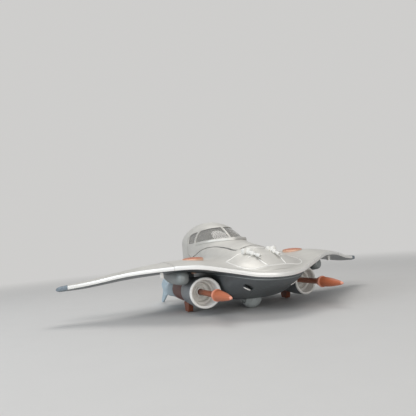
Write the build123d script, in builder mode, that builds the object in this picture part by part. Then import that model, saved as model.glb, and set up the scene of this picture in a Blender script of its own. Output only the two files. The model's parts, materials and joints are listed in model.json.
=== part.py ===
"""Toy airplane: a blended-wing craft with an opening canopy, two missile launchers and plug-in wings.

Millimetres. +Z is up, the nose points along -Y, and the left wing lies along +X. The origin is on the
ground, midway between the missile tips and the tail fins.
"""
from build123d import *
from math import cos, sin, pi
import os

os.makedirs("parts", exist_ok=True)

# ---------------------------------------------------------------- overall form
half_span = 210.0  # centre line to wing tip
wing_joint_x = 97.0  # where the outer wing plugs on
cap_length = 12.0  # of the tip cap
cap_joint_x = half_span - cap_length
bend_x = half_span - 34.0  # where the wing has drooped furthest
wing_gap = 0.2  # between the faces of the inner and the outer wing
band_height = 4.2  # bright upright face of the leading edge
edge_height = 1.2  # trailing edge, above and below the parting line
wall = 1.8  # mouldings
front_wall = 3.0  # behind the leading edge
hollow_end = 0.86  # share of the chord where the wing's hollow ends
fit_gap = 0.3  # between separate mouldings that move apart
seat_gap = 0.1  # between mouldings fixed together

# The wing is described at a few stations from the centre line out to the tip.
tip_y = 24.5
nose_y = -116.0
lead_y = [(0, nose_y), (25, -108.6), (50, -94.7), (76, -78.2), (101, -57.4), (138, -25.0),
          (bend_x, 4.9), (half_span, tip_y)]
lead_z = [(0, 38.7), (25, 40.2), (50, 46.0), (76, 51.7), (101, 52.1), (138, 49.0), (bend_x, 42.2),
          (half_span, 38.0)]
trail_y = [(0, 116.0), (36, 102.0), (63, 70.0), (97, 43.0), (138, 33.0), (bend_x, 36.0), (half_span, 38.0)]
trail_z = [(0, 50.0), (63, 49.5), (97, 49.5), (138, 46.5), (bend_x, 42.0), (half_span, 38.6)]
crown_rise = [(0, 18.0), (36, 10.2), (63, 8.6), (97, 6.6), (138, 4.2), (bend_x, 2.6), (half_span, 1.0)]
belly_drop = [(0, 3.0), (97, 3.5), (bend_x, 3.0), (half_span, 1.2)]

# The spine is the raised body: nose deck, ridge, windscreen, roof and rear fairing.
deck_nose_z = 47.0
ridge_z = 72.0
sill_z = 82.6  # under the windscreen
roof_z = 107.6
pod_half = 35.5  # half width of the cockpit pod
deck_half = 42.0  # half width of the nose deck
spine_open_y = 106.0  # the spine is hollow up to here
tail_y = 122.0  # rear of the pod and of the tail fins
post_y = 5.0  # foot of the windscreen
roof_y = 73.0  # highest point of the roof, and the rear end of the canopy
crown = [(-106, deck_nose_z), (-102, 50.0), (-87, 57.3), (-69, 64.5), (-49, ridge_z), (-22, 76.8),
         (post_y, sill_z), (19, 91.5), (33, 98.6), (51, 104.3), (roof_y, roof_z), (93, 106.5),
         (109, 101.0), (118, 92.0), (tail_y, 84.0)]
girth = [(-106, 22.0), (-102, 31.0), (-87, deck_half), (-69, deck_half + 1), (-49, deck_half - 1),
         (-22, 38.0), (5, pod_half - 0.5), (33, pod_half - 1.5), (51, pod_half - 1),
         (roof_y, pod_half), (93, pod_half), (109, 31.0), (118, 22.0), (tail_y, 12.0)]
spring_line = [(-106, 42.0), (-87, 46.0), (-49, 49.0), (-22, 52.5), (post_y, 58.0), (33, 65.0),
               (51, 70.0), (roof_y, 76.0), (93, 80.0), (tail_y, 80.0)]
roundness = [(-106, 2.0), (-69, 1.7), (-49, 1.6), (-22, 1.7), (post_y, 1.9), (33, 2.0), (51, 2.1),
             (roof_y, 2.2), (109, 2.3), (tail_y, 2.0)]

# The hull is the boat-shaped belly.
hull_floor_z = 10.5
hull_half = 47.0
hull_start_y = -113.0
hull_end_y = 88.0
keel = [(hull_start_y, 37.0), (-107, 33.0), (-97, 27.5), (-84, 22.5), (-63, 14.5), (-45, 11.3),
        (-25, hull_floor_z), (3, hull_floor_z), (43, 14.0), (70, 23.0), (hull_end_y, 38.0)]
hull_girth = [(hull_start_y, 10.0), (-107, 25.0), (-97, 36.0), (-84, hull_half - 4), (-63, hull_half),
              (3, hull_half), (43, hull_half - 5), (70, 34.0), (hull_end_y, 22.0)]
hull_top = [(hull_start_y, 40.5), (-107, 43.0), (-97, 45.5), (-84, 48.5), (-57, 51.0), (hull_end_y, 51.0)]
hull_roundness = [(hull_start_y, 2.0), (-84, 2.3), (-57, 3.0), (43, 3.0), (hull_end_y, 2.4)]

# ---------------------------------------------------------------- canopy and cockpit
canopy_front_y = -50.0
canopy_line = [(canopy_front_y, 67.8), (-27, 70.6), (-1, 73.4), (16, 72.4), (38, 67.4), (54, 62.6),
               (64, 61.6), (roof_y, 66.0)]  # lower edge of the canopy, seen from the side
hinge_z = 69.6
hinge_radius = 2.2
hinge_pin_radius = 1.0
pin_gap = 0.06
knuckle_half = 5.0
ear_width = 2.2
roof_edge_z = 97.8  # top of the windscreen opening
window_low_z = 83.2
post_half = 1.3  # half width of the centre post
side_post_y = 50.0
side_post_width = 3.0
quarter_end_y = roof_y - 4.0
glass = 1.2
tub_half = 22.0
tub_front_y = -16.0
tub_rear_y = 66.0
tub_floor_z = 42.0
tub_rim_z = 60.0
tub_wall = 1.5
seat_y = 40.0
seat_half = 13.0
seat_top_z = 84.0
cushion_depth = 24.0
cushion_height = 7.0
panel_depth = 14.0
panel_height = 9.0
stick_y = 6.0
stick_height = 13.0
stick_radius = 1.1
knob_radius = 2.0

# ---------------------------------------------------------------- engines and launchers
nacelle_x = 63.4
nacelle_z = 25.3
rim_y = -57.0
rim_radius = 16.4
rim_rake = 12.0  # degrees, facing outwards
lip_depth = 3.0
drum_radius = 16.8
drum_end_y = -16.0
drum_end_radius = 14.9
spigot_length = 3.0  # of the barrel inside the drum's rear
bowl_radius = 13.6
dish_radius = 14.2
dish_end_y = -36.0
hub_face_y = -38.0
hub_radius = 5.9
step_radius = 10.4
barrel_radius = 8.0
band_radius = 14.0
band_end_y = 24.0
band_end_radius = 13.0
end_wall = 4.0  # behind the missile's spring
ring_radius = 12.5
ring_end_y = 44.0
tail_radius = 9.2
tail_ring_y = 73.0
tail_ring_z = 21.5
fin_thickness = 2.4
fin_top_z = 33.5
fin_foot_length = 6.5
foot_offset = 2.5
foot_width = 6.0
foot_low_z = 0.8
foot_root_y = (-13.0, 4.0)
foot_sole_y = (-9.5, 1.0)
pylon_half = 4.0
pylon_y = (-12.0, 20.0)
pylon_top_z = 47.5
fairing_x = 85.0
fairing_z = 43.0
fairing_radius = 7.8
fairing_nose_y = -55.0
fairing_length = 85.0

missile_tip_y = -tail_y
missile_collar_y = -86.8
missile_shaft_radius = 3.1
missile_collar_radius = 6.15
missile_collar_half = 2.0
missile_tip_radius = 1.0
missile_end_y = 8.0
bore_radius = missile_shaft_radius + fit_gap
spring_seat_y = band_end_y - end_wall
spring_wire = 0.7

# ---------------------------------------------------------------- buttons, wheel, small parts
button_x = 65.7
button_y = -30.0
button_radius = 12.0
button_flange = 1.3
button_dome = 1.6
button_low_z = 55.8
button_edge_z = 62.0
button_stem_z = 45.2
button_stem_radius = 3.0
wheel_y = -36.0
wheel_radius = 12.0
wheel_half = 10.0
wheel_shoulder = 4.5  # how much smaller the wheel is at its sides
axle_radius = 1.5
well_gap = 1.5
well_half = wheel_half + well_gap
well_top_z = 25.4
tongue_length = 16.0
tongue_low_y = -25.0
tongue_high_y = 5.0
tongue_low_z = 51.6
tongue_high_z = 56.4
tab_x = 107.0
tab_width = 3.0
tab_travel = 1.5
tab_flange = 1.0
tab_drop = 6.5
rib_width = 2.0
rib_gap = 0.5
rib_rear_gap = 3.0
slot_x = 28.0
slot_z = 29.3
slot_width = 10.0
slot_height = 2.6
slot_slant = 28.0  # degrees, up towards the sides
boss_x = 30.0
boss_front_y = -52.0
boss_rear_y = 52.0
boss_radius = 3.8
boss_split_z = 30.0
boss_top_z = 58.0
screw_radius = 1.5
screw_head_radius = 2.8
screw_head_height = 2.2
screw_seat_z = 22.0
screw_tip_z = 46.0
gun_rear = Vector(14.8, -54.5, 68.4)
gun_front = Vector(11.3, -87.0, 59.6)
gun_radii = (3.1, 1.9, 1.3)  # breech, sleeve and barrel
breech_length = 11.0
sleeve_length = 6.0


def smooth(table, at):
    """Value of a smooth curve through (place, value) points, level at the first of them."""
    last = len(table) - 1
    at = min(max(at, table[0][0]), table[last][0])
    slopes = [0.0]
    for i in range(1, last):
        slopes.append((table[i + 1][1] - table[i - 1][1]) / (table[i + 1][0] - table[i - 1][0]))
    slopes.append((table[last][1] - table[last - 1][1]) / (table[last][0] - table[last - 1][0]))
    i = max(k for k in range(last) if table[k][0] <= at)
    span = table[i + 1][0] - table[i][0]
    t = (at - table[i][0]) / span
    start, end = table[i][1], table[i + 1][1]
    return (
        start * (2 * t**3 - 3 * t**2 + 1)
        + slopes[i] * span * (t**3 - 2 * t**2 + t)
        + end * (3 * t**2 - 2 * t**3)
        + slopes[i + 1] * span * (t**3 - t**2)
    )


def steps(start, end, count):
    """Evenly spaced places from start to end."""
    return [start + (end - start) * i / count for i in range(count + 1)]


def parting_point(x, s):
    """Point of the parting surface between upper and lower mouldings, a share s along the chord."""
    y = smooth(lead_y, abs(x)) * (1 - s) + smooth(trail_y, abs(x)) * s
    z = smooth(lead_z, abs(x)) * (1 - s) + smooth(trail_z, abs(x)) * s
    return y, z


def top_point(x, s, lowered=0.0):
    """Point of the wing's upper surface, or of a surface a wall below it."""
    y, z = parting_point(x, s)
    rise = smooth(crown_rise, abs(x)) * 4 * s * (1 - s)
    return y, z + band_height * (1 - s) + edge_height * s + rise - lowered


def bottom_point(x, s):
    """Point of the wing's lower surface."""
    y, z = parting_point(x, s)
    return y, z - edge_height * s - smooth(belly_drop, abs(x)) * 4 * s * (1 - s)


def wing_shell_form(places):
    """Upper skin of the wing between the first and the last place, with the band in front."""
    with BuildPart(mode=Mode.PRIVATE) as form:
        for x in places:
            chord = smooth(trail_y, abs(x)) - smooth(lead_y, abs(x))
            front = front_wall / chord
            shares = [front + (hollow_end - front) * i / 4 for i in range(5)]
            with BuildSketch(Plane.YZ.offset(x)):
                with BuildLine():
                    Line(parting_point(x, 0), top_point(x, 0))
                    Spline([top_point(x, s) for s in (0, 0.25, 0.5, 0.75, 1)])
                    Line(top_point(x, 1), parting_point(x, 1))
                    Line(parting_point(x, 1), parting_point(x, hollow_end))
                    Line(parting_point(x, hollow_end), top_point(x, hollow_end, wall))
                    Spline([top_point(x, s, wall) for s in reversed(shares)])
                    Line(top_point(x, front, wall), parting_point(x, front))
                    Line(parting_point(x, front), parting_point(x, 0))
                make_face()
        loft()
    return form.part


def wing_plate_form(places):
    """Lower skin of the wing between the first and the last place."""
    with BuildPart(mode=Mode.PRIVATE) as form:
        for x in places:
            with BuildSketch(Plane.YZ.offset(x)):
                with BuildLine():
                    Line(parting_point(x, 0), parting_point(x, 1))
                    Line(parting_point(x, 1), bottom_point(x, 1))
                    Spline([bottom_point(x, s) for s in (1, 0.75, 0.5, 0.25, 0)])
                make_face()
        loft()
    return form.part


def rib_face(x, inset):
    """Cross-section of the wing's hollow, drawn in by inset, and by more at its rear."""
    chord = smooth(trail_y, x) - smooth(lead_y, x)
    front = (front_wall + inset) / chord
    rear = hollow_end - (inset + rib_rear_gap) / chord
    shares = [front + (rear - front) * i / 4 for i in range(5)]
    low = [(y, z + inset) for y, z in (parting_point(x, front), parting_point(x, rear))]
    with BuildSketch(Plane.YZ.offset(x), mode=Mode.PRIVATE) as face:
        with BuildLine():
            Line(low[0], top_point(x, shares[0], wall + inset))
            Spline([top_point(x, s, wall + inset) for s in shares])
            Line(top_point(x, shares[-1], wall + inset), low[1])
            Line(low[1], low[0])
        make_face()
    return face.sketch


def arch_points(half, base, peak, power):
    """Points of a superellipse arch from +half over the peak to -half."""
    points = []
    for i in range(13):
        angle = pi * i / 12
        side = -1 if cos(angle) < 0 else 1
        x = side * half * abs(cos(angle)) ** (2 / power)
        z = base + (peak - base) * max(sin(angle), 0) ** (2 / power)
        points.append((x, z))
    return points


def spine_foot(y):
    """Height that the spine's walls reach down to."""
    half = smooth(girth, y)
    chord = smooth(trail_y, half) - smooth(lead_y, half)
    share = min(max((y - smooth(lead_y, half)) / chord, 0), 1)
    return parting_point(half, share)[1] + seat_gap


def spine_arch(y, inset):
    """Arch of the spine at a place along its length, drawn in by inset."""
    half, base = smooth(girth, y) - inset, smooth(spring_line, y)
    return arch_points(half, base, smooth(crown, y) - inset, smooth(roundness, y))


def spine_solid(places, grown=0.0, floor=None):
    """Raised body of the craft as one solid, grown outwards by a clearance."""
    with BuildPart(mode=Mode.PRIVATE) as form:
        for y in places:
            arch, foot = spine_arch(y, -grown), floor or spine_foot(y)
            with BuildSketch(Plane.XZ.offset(-y)):
                with BuildLine():
                    Line((arch[0][0], foot), arch[0])
                    Spline(arch)
                    Line(arch[-1], (arch[-1][0], foot))
                    Line((arch[-1][0], foot), (arch[0][0], foot))
                make_face()
        loft()
    return form.part


def spine_skin(places, outer_inset, thickness):
    """Arched skin of the spine, open at the bottom and at both ends."""
    with BuildPart(mode=Mode.PRIVATE) as form:
        for y in places:
            outer, foot = spine_arch(y, outer_inset), spine_foot(y)
            inner = spine_arch(y, outer_inset + thickness)
            with BuildSketch(Plane.XZ.offset(-y)):
                with BuildLine():
                    Line((outer[0][0], foot), outer[0])
                    Spline(outer)
                    Line(outer[-1], (outer[-1][0], foot))
                    Line((outer[-1][0], foot), (inner[-1][0], foot))
                    Line((inner[-1][0], foot), inner[-1])
                    Spline(list(reversed(inner)))
                    Line(inner[0], (inner[0][0], foot))
                    Line((inner[0][0], foot), (outer[0][0], foot))
                make_face()
        loft()
    return form.part


def hull_arch(y, inset):
    """Arch of the belly at a place along its length, drawn in by inset."""
    half, top = smooth(hull_girth, y) - inset, smooth(hull_top, y)
    return arch_points(half, top, smooth(keel, y) + inset, smooth(hull_roundness, y))


def hull_solid(places, inset=0.0):
    """Boat-shaped belly as one solid, drawn in by inset."""
    with BuildPart(mode=Mode.PRIVATE) as form:
        for y in places:
            arch = hull_arch(y, inset)
            with BuildSketch(Plane.XZ.offset(-y)):
                with BuildLine():
                    Spline(arch)
                    Line(arch[-1], arch[0])
                make_face()
        loft()
    return form.part


def hull_skin(places):
    """Belly as a skin, open at the top and at both ends."""
    with BuildPart(mode=Mode.PRIVATE) as form:
        for y in places:
            outer, inner = hull_arch(y, 0), hull_arch(y, wall)
            with BuildSketch(Plane.XZ.offset(-y)):
                with BuildLine():
                    Spline(outer)
                    Line(outer[-1], inner[-1])
                    Spline(list(reversed(inner)))
                    Line(inner[0], outer[0])
                make_face()
        loft()
    return form.part


def below_parting(places):
    """Everything under the parting surface of the inner wing."""
    with BuildPart(mode=Mode.PRIVATE) as form:
        for x in places:
            front, rear = parting_point(x, 0), parting_point(x, 1)
            with BuildSketch(Plane.YZ.offset(x)):
                with BuildLine():
                    Polyline(front, rear, (rear[0], -5), (front[0], -5), close=True)
                make_face()
        loft()
    return form.part


def canopy_zone(gap):
    """Side-view region that the canopy takes up, grown by gap."""
    front, rear = canopy_front_y - gap, roof_y + gap
    line = [(y, z - gap) for y, z in canopy_line]
    with BuildPart(mode=Mode.PRIVATE) as zone:
        with BuildSketch(Plane.YZ):
            with BuildLine():
                Spline([(front, line[0][1])] + line[1:-1] + [(rear, line[-1][1])])
                Polyline((rear, line[-1][1]), (rear, 2 * roof_z), (front, 2 * roof_z), (front, line[0][1]))
            make_face()
        extrude(amount=2 * pod_half, both=True)
    return zone.part


def window_cutter(corners):
    """Prism through the canopy with the given side-view corners."""
    with BuildPart(mode=Mode.PRIVATE) as cutter:
        with BuildSketch(Plane.YZ):
            with BuildLine():
                Polyline(*corners, close=True)
            make_face()
        extrude(amount=2 * pod_half, both=True)
    return cutter.part


def slab(low, high):
    """Box between two opposite corners, as a loose tool body."""
    size = [high[i] - low[i] for i in range(3)]
    middle = [(high[i] + low[i]) / 2 for i in range(3)]
    return Pos(*middle) * Box(*size, mode=Mode.PRIVATE)


def post(x, y, low_z, high_z, radius):
    """Upright cylinder, as a loose tool body."""
    return Pos(x, y, (low_z + high_z) / 2) * Cylinder(radius, high_z - low_z, mode=Mode.PRIVATE)


def crossbar(x, y, z, radius, length):
    """Cylinder along X, as a loose tool body."""
    return Pos(x, y, z) * Rot(0, 90, 0) * Cylinder(radius, length, mode=Mode.PRIVATE)


def turned(profile, x, z):
    """Solid of revolution about a line along Y through (x, z); profile holds (radius, y) corners."""
    with BuildPart(mode=Mode.PRIVATE) as form:
        with BuildSketch(Plane.XY.offset(z)):
            with BuildLine():
                Polyline(*[(x + radius, y) for radius, y in profile], close=True)
            make_face()
        revolve(axis=Axis((x, 0, z), (0, 1, 0)))
    return form.part


def coil(x, start, end, radius, turns, along):
    """Coil spring about a line through start = (y, z), along Y or Z."""
    origin = (x, start[0], start[1])
    height = abs(end - (start[0] if along == "Y" else start[1]))
    direction = (0, 1, 0) if along == "Y" else (0, 0, 1)
    with BuildPart(mode=Mode.PRIVATE) as form:
        with BuildLine():
            path = Helix(height / turns, height, radius, center=origin, direction=direction)
        with BuildSketch(Plane(path @ 0, z_dir=path % 0)):
            Circle(spring_wire / 2)
        sweep()
    return form.part


def save(piece, name):
    """Label a finished piece and write it."""
    piece.label = name
    export_step(piece, f"parts/{name}.step")


def save_pair(piece, name):
    """Write a piece of the left side and its mirror image on the right."""
    save(piece, f"left_{name}")
    save(piece.mirror(Plane.YZ), f"right_{name}")


# ================================================================ shared forms
inner_places = steps(-wing_joint_x, wing_joint_x, 14)
outer_places = steps(wing_joint_x + wing_gap, cap_joint_x, 6)
spine_places = [-106, -102, -95, -87, -69, -49, -22, post_y, 19, 33, 51, roof_y, 93, spine_open_y]
hull_places = [hull_start_y, -107, -97, -84, -63, -45, -25, 3, 43, 70, hull_end_y]
spine_body = spine_solid(spine_places)
spine_shell = spine_skin(spine_places, 0, wall)
spine_end = spine_solid([spine_open_y, 114, 118, tail_y])
hull_body = hull_solid(hull_places)
inner_plate = wing_plate_form(inner_places)

# ================================================================ body mouldings
button_bores = [post(side * button_x, button_y, 50, 70, button_radius + fit_gap) for side in (-1, 1)]
with BuildPart() as wing_deck:
    add(wing_shell_form(inner_places))
    add([spine_body, spine_end], mode=Mode.SUBTRACT)
    add(button_bores, mode=Mode.SUBTRACT)
save(wing_deck.part, "wing_deck")

# The nose deck and the pod's walls, up to the canopy's parting line.
rear_zone = slab((-60, roof_y + fit_gap, canopy_line[-2][1]), (60, 2 * tail_y, 2 * roof_z))
hinge = (canopy_front_y, hinge_z)
knuckle_relief = crossbar(0, *hinge, hinge_radius + fit_gap, 2 * (knuckle_half + fit_gap))
knuckle = crossbar(0, *hinge, hinge_radius, 2 * knuckle_half)
ear_x = [side * (knuckle_half + fit_gap + ear_width / 2) for side in (-1, 1)]
ears = [crossbar(x, *hinge, hinge_radius, ear_width)
        - crossbar(x, *hinge, hinge_pin_radius + pin_gap, 2 * ear_width) for x in ear_x]
ear_reliefs = [crossbar(x, *hinge, hinge_radius + fit_gap, ear_width + 2 * fit_gap) for x in ear_x]
pin_bore = crossbar(0, *hinge, hinge_pin_radius + pin_gap, 4 * knuckle_half)
edge_relief = crossbar(0, *hinge, hinge_pin_radius + 2 * fit_gap, 5 * knuckle_half)
boss_places = [(side * boss_x, y) for side in (-1, 1) for y in (boss_front_y, boss_rear_y)]
boss_room = spine_solid(spine_places[2:], -wall / 2, floor=boss_split_z)
deck_bosses = [post(x, y, boss_split_z - 1, boss_top_z, boss_radius) & boss_room for x, y in boss_places]
with BuildPart() as nose_deck:
    add(spine_shell)
    add(canopy_zone(fit_gap), mode=Mode.SUBTRACT)
    add(rear_zone, mode=Mode.SUBTRACT)
    add(deck_bosses)
    add(knuckle_relief, mode=Mode.SUBTRACT)
    add(edge_relief, mode=Mode.SUBTRACT)
    add(ears)
    for x, y in boss_places:
        add(post(x, y, boss_split_z - 1, screw_tip_z, screw_radius + pin_gap), mode=Mode.SUBTRACT)
save(nose_deck.part, "nose_deck")

# The closed rear of the pod, behind the canopy.
with BuildPart() as rear_fairing:
    add(spine_shell)
    add(slab((-60, roof_y + fit_gap + seat_gap, canopy_line[-2][1] + seat_gap), (60, 200, 200)),
        mode=Mode.INTERSECT)
    add(spine_end)
save(rear_fairing.part, "rear_fairing")

# The belly, with the wheel well, the screw bosses and two small chin slots.
well_low = (-well_half, wheel_y - wheel_radius - well_gap)
well_high = (well_half, wheel_y + wheel_radius + well_gap)
cheeks = crossbar(0, wheel_y, wheel_radius, 2 * axle_radius, 2 * well_half + 4 * wall)
axle_bore = crossbar(0, wheel_y, wheel_radius, axle_radius + pin_gap, 2 * well_half + 6 * wall)
hull_room = hull_solid(hull_places, wall / 2)
hull_bosses = [post(x, y, 5, boss_split_z - seat_gap, boss_radius) & hull_room for x, y in boss_places]
with BuildPart() as lower_hull:
    add(hull_skin(hull_places))
    add(below_parting(inner_places), mode=Mode.INTERSECT)
    add(hull_bosses)
    add(slab((well_low[0] - wall, well_low[1] - wall, hull_floor_z + wall / 2),
             (well_high[0] + wall, well_high[1] + wall, well_top_z + wall)))
    add(cheeks)
    add(slab((well_low[0], well_low[1], -1), (well_high[0], well_high[1], well_top_z)),
        mode=Mode.SUBTRACT)
    add(axle_bore, mode=Mode.SUBTRACT)
    for x, y in boss_places:
        add(post(x, y, 5, boss_split_z + 1, screw_radius + pin_gap), mode=Mode.SUBTRACT)
        add(post(x, y, 5, screw_seat_z, screw_head_radius + pin_gap), mode=Mode.SUBTRACT)
    for side in (-1, 1):
        cutter = Box(slot_width, 2 * slot_x, slot_height, mode=Mode.PRIVATE)
        add(Pos(side * slot_x, rim_y - slot_x, slot_z) * Rot(0, -side * slot_slant, 0) * cutter,
            mode=Mode.SUBTRACT)
save(lower_hull.part, "lower_hull")

# The flat undersides of the inner wings, around the belly.
with BuildPart() as wing_belly:
    add(inner_plate)
    add(hull_body, mode=Mode.SUBTRACT)
    for side in (-1, 1):
        add(post(side * button_x, button_y, 40, 60, button_stem_radius + fit_gap), mode=Mode.SUBTRACT)
save(wing_belly.part, "wing_belly")

# ================================================================ canopy
windscreen_corners = [(-20, window_low_z), (post_y, window_low_z), (side_post_y - side_post_width / 2, 81.0),
                      (side_post_y + 1, 95.2), (36, roof_edge_z), (-20, roof_edge_z)]
quarter_corners = [(side_post_y + side_post_width / 2, 80.8), (quarter_end_y, 80.2),
                   (quarter_end_y, 92.4), (side_post_y + side_post_width / 2 + 1.6, 94.6)]
with BuildPart() as canopy_frame:
    add(spine_shell)
    add(canopy_zone(0), mode=Mode.INTERSECT)
    add(window_cutter(quarter_corners), mode=Mode.SUBTRACT)
    add(window_cutter(windscreen_corners) - slab((-post_half, -30, 70), (post_half, 60, 110)),
        mode=Mode.SUBTRACT)
    add(ear_reliefs, mode=Mode.SUBTRACT)
    add(knuckle)
    add(pin_bore, mode=Mode.SUBTRACT)
save(canopy_frame.part, "canopy_frame")

glazing = spine_skin(spine_places, wall + seat_gap, glass)
with BuildPart() as windscreen:
    add(glazing)
    add(slab((-60, -8, window_low_z - 3.5), (60, side_post_y, roof_edge_z + 2)), mode=Mode.INTERSECT)
save(windscreen.part, "windscreen")

with BuildPart() as quarter_windows:
    add(glazing)
    add(slab((0, side_post_y + 0.4, window_low_z - 4.5), (60, roof_y - 1, roof_edge_z - 1)),
        mode=Mode.INTERSECT)
save_pair(quarter_windows.part, "quarter_window")

with BuildPart(Pos(0, canopy_front_y, hinge_z)) as hinge_pin:
    Cylinder(hinge_pin_radius, 2 * (knuckle_half + fit_gap + ear_width), rotation=(0, 90, 0))
save(hinge_pin.part, "canopy_hinge_pin")

# ================================================================ cockpit
flange_half = pod_half - 1.5 - wall - fit_gap
tub_low = (-tub_half, tub_front_y)
tub_high = (tub_half, tub_rear_y)
with BuildPart() as cockpit_tub:
    add(slab((*tub_low, tub_floor_z), (*tub_high, tub_rim_z)))
    add(slab((-flange_half, tub_front_y, tub_rim_z - tub_wall), (flange_half, tub_rear_y, tub_rim_z)))
    add(slab((tub_low[0] + tub_wall, tub_low[1] + tub_wall, tub_floor_z + tub_wall),
             (tub_high[0] - tub_wall, tub_high[1] - tub_wall, tub_rim_z + 1)), mode=Mode.SUBTRACT)
save(cockpit_tub.part, "cockpit_tub")

seat_floor_z = tub_floor_z + tub_wall
cushion_z = seat_floor_z + cushion_height
with BuildPart() as seat:
    with BuildSketch(Plane.YZ):
        with BuildLine():
            Polyline((seat_y - cushion_depth, seat_floor_z), (seat_y - cushion_depth, cushion_z),
                     (seat_y, cushion_z - 2), (seat_y + 9, seat_top_z), (seat_y + 14, seat_top_z),
                     (seat_y + 8, seat_floor_z), close=True)
        make_face()
    extrude(amount=seat_half, both=True)
    fillet(seat.edges().filter_by(Axis.X).group_by(Axis.Z)[-1], 2.0)
save(seat.part, "pilot_seat")

panel_low_z = tub_rim_z + seat_gap
with BuildPart() as instrument_panel:
    with BuildSketch(Plane.YZ):
        with BuildLine():
            Polyline((tub_front_y, panel_low_z), (tub_front_y + panel_depth, panel_low_z),
                     (tub_front_y + 0.8 * panel_depth, panel_low_z + panel_height),
                     (tub_front_y, panel_low_z + panel_height), close=True)
        make_face()
    extrude(amount=tub_half - 2, both=True)
save(instrument_panel.part, "instrument_panel")

with BuildPart(Pos(0, stick_y, seat_floor_z)) as control_stick:
    Cylinder(3 * stick_radius, tub_wall, align=(Align.CENTER, Align.CENTER, Align.MIN))
    Cylinder(stick_radius, stick_height, align=(Align.CENTER, Align.CENTER, Align.MIN))
    with Locations((0, 0, stick_height)):
        Sphere(knob_radius)
save(control_stick.part, "control_stick")

# ================================================================ outer wings
tongue_low = (wing_joint_x - tongue_length, tongue_low_y, tongue_low_z)
tongue_high = (wing_joint_x + wing_gap + 0.5, tongue_high_y, tongue_high_z)
slot_low = (0, tongue_low_y - fit_gap, tongue_low_z - fit_gap)
slot_high = (2 * wing_joint_x, tongue_high_y + fit_gap, tongue_high_z + fit_gap)
with BuildPart() as wing_rib:
    loft([rib_face(wing_joint_x - rib_width, rib_gap), rib_face(wing_joint_x, rib_gap)])
    add(slab(slot_low, slot_high), mode=Mode.SUBTRACT)
save_pair(wing_rib.part, "wing_rib")

save_pair(wing_shell_form(outer_places), "wing_top")

tab_y = smooth(lead_y, tab_x + tab_width / 2 + tab_flange) + front_wall + fit_gap + tab_width / 2
tab_z = parting_point(tab_x, 0.05)[1]
with BuildPart() as wing_bottom:
    add(wing_plate_form(outer_places))
    add(slab((tab_x - tab_width / 2 - fit_gap, tab_y - tab_width / 2 - fit_gap, tab_z - 10),
             (tab_x + tab_width / 2 + fit_gap, tab_y + tab_width / 2 + tab_travel + fit_gap, tab_z + 5)),
        mode=Mode.SUBTRACT)
save_pair(wing_bottom.part, "wing_bottom")

with BuildPart() as wing_spar:
    loft([rib_face(wing_joint_x + wing_gap, rib_gap), rib_face(wing_joint_x + wing_gap + rib_width, rib_gap)])
    add(slab(tongue_low, tongue_high))
save_pair(wing_spar.part, "wing_spar")

with BuildPart() as tip_cap:
    for x in (cap_joint_x + seat_gap, (cap_joint_x + half_span) / 2, half_span):
        with BuildSketch(Plane.YZ.offset(x)):
            with BuildLine():
                Line(parting_point(x, 0), top_point(x, 0))
                Spline([top_point(x, s) for s in (0, 0.25, 0.5, 0.75, 1)])
                Line(top_point(x, 1), bottom_point(x, 1))
                Spline([bottom_point(x, s) for s in (1, 0.75, 0.5, 0.25, 0)])
            make_face()
    loft()
save_pair(tip_cap.part, "tip_cap")

with BuildPart() as release_tab:
    add(slab((tab_x - tab_width / 2, tab_y - tab_width / 2, tab_z - tab_drop),
             (tab_x + tab_width / 2, tab_y + tab_width / 2, tab_z + 1.5)))
    add(slab((tab_x - tab_width / 2 - tab_flange, tab_y - tab_width / 2, tab_z + fit_gap + 0.1),
             (tab_x + tab_width / 2 + tab_flange, tab_y + tab_width / 2, tab_z + 2)))
save_pair(release_tab.part, "release_tab")

# ================================================================ engines, left side
rim_front_y = rim_y - 0.5 * rim_radius  # ahead of the raked rim, which is cut afterwards
drum = [(0, rim_front_y), (rim_radius, rim_front_y), (drum_radius, rim_y + 15), (drum_end_radius, drum_end_y),
        (0, drum_end_y)]
dish_room = dish_radius + seat_gap
drum_hollow = [(0, rim_front_y - 1), (dish_room, rim_front_y - 1), (dish_room, dish_end_y),
               (drum_end_radius - wall, dish_end_y + 2), (drum_end_radius - wall, drum_end_y + 1),
               (0, drum_end_y + 1)]
rake_plane = Plane(origin=(nacelle_x, rim_y, nacelle_z), z_dir=(sin(rim_rake * pi / 180),
                                                              -cos(rim_rake * pi / 180), 0))
drum_body = turned(drum, nacelle_x, nacelle_z)
with BuildPart() as cowl:
    add(drum_body)
    with BuildSketch(rake_plane.offset(-lip_depth)):
        Circle(2 * rim_radius)
    extrude(amount=2 * rim_radius, mode=Mode.SUBTRACT)
    add(turned(drum_hollow, nacelle_x, nacelle_z), mode=Mode.SUBTRACT)
save_pair(cowl.part, "cowl")

bowl = [(bowl_radius, rim_front_y), (dish_radius, rim_front_y), (dish_radius, dish_end_y - seat_gap),
        (bore_radius, dish_end_y - seat_gap), (bore_radius, hub_face_y - 3),
        (hub_radius - 0.5, hub_face_y - 3), (hub_radius, hub_face_y), (step_radius, hub_face_y),
        (step_radius, hub_face_y - 5),
        (step_radius + 2, hub_face_y - 6), (step_radius + 2.4, rim_y + 7.5), (bowl_radius, rim_y + 6.5)]
with BuildPart() as intake_dish:
    add(turned(bowl, nacelle_x, nacelle_z))
    with BuildSketch(rake_plane.offset(seat_gap - lip_depth)):
        Circle(2 * rim_radius)
    extrude(amount=2 * rim_radius, mode=Mode.SUBTRACT)
    with BuildSketch(rake_plane):
        Circle(rim_radius)
        Circle(bowl_radius - 0.1, mode=Mode.SUBTRACT)
    extrude(amount=-lip_depth + seat_gap)
save_pair(intake_dish.part, "intake_dish")

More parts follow.
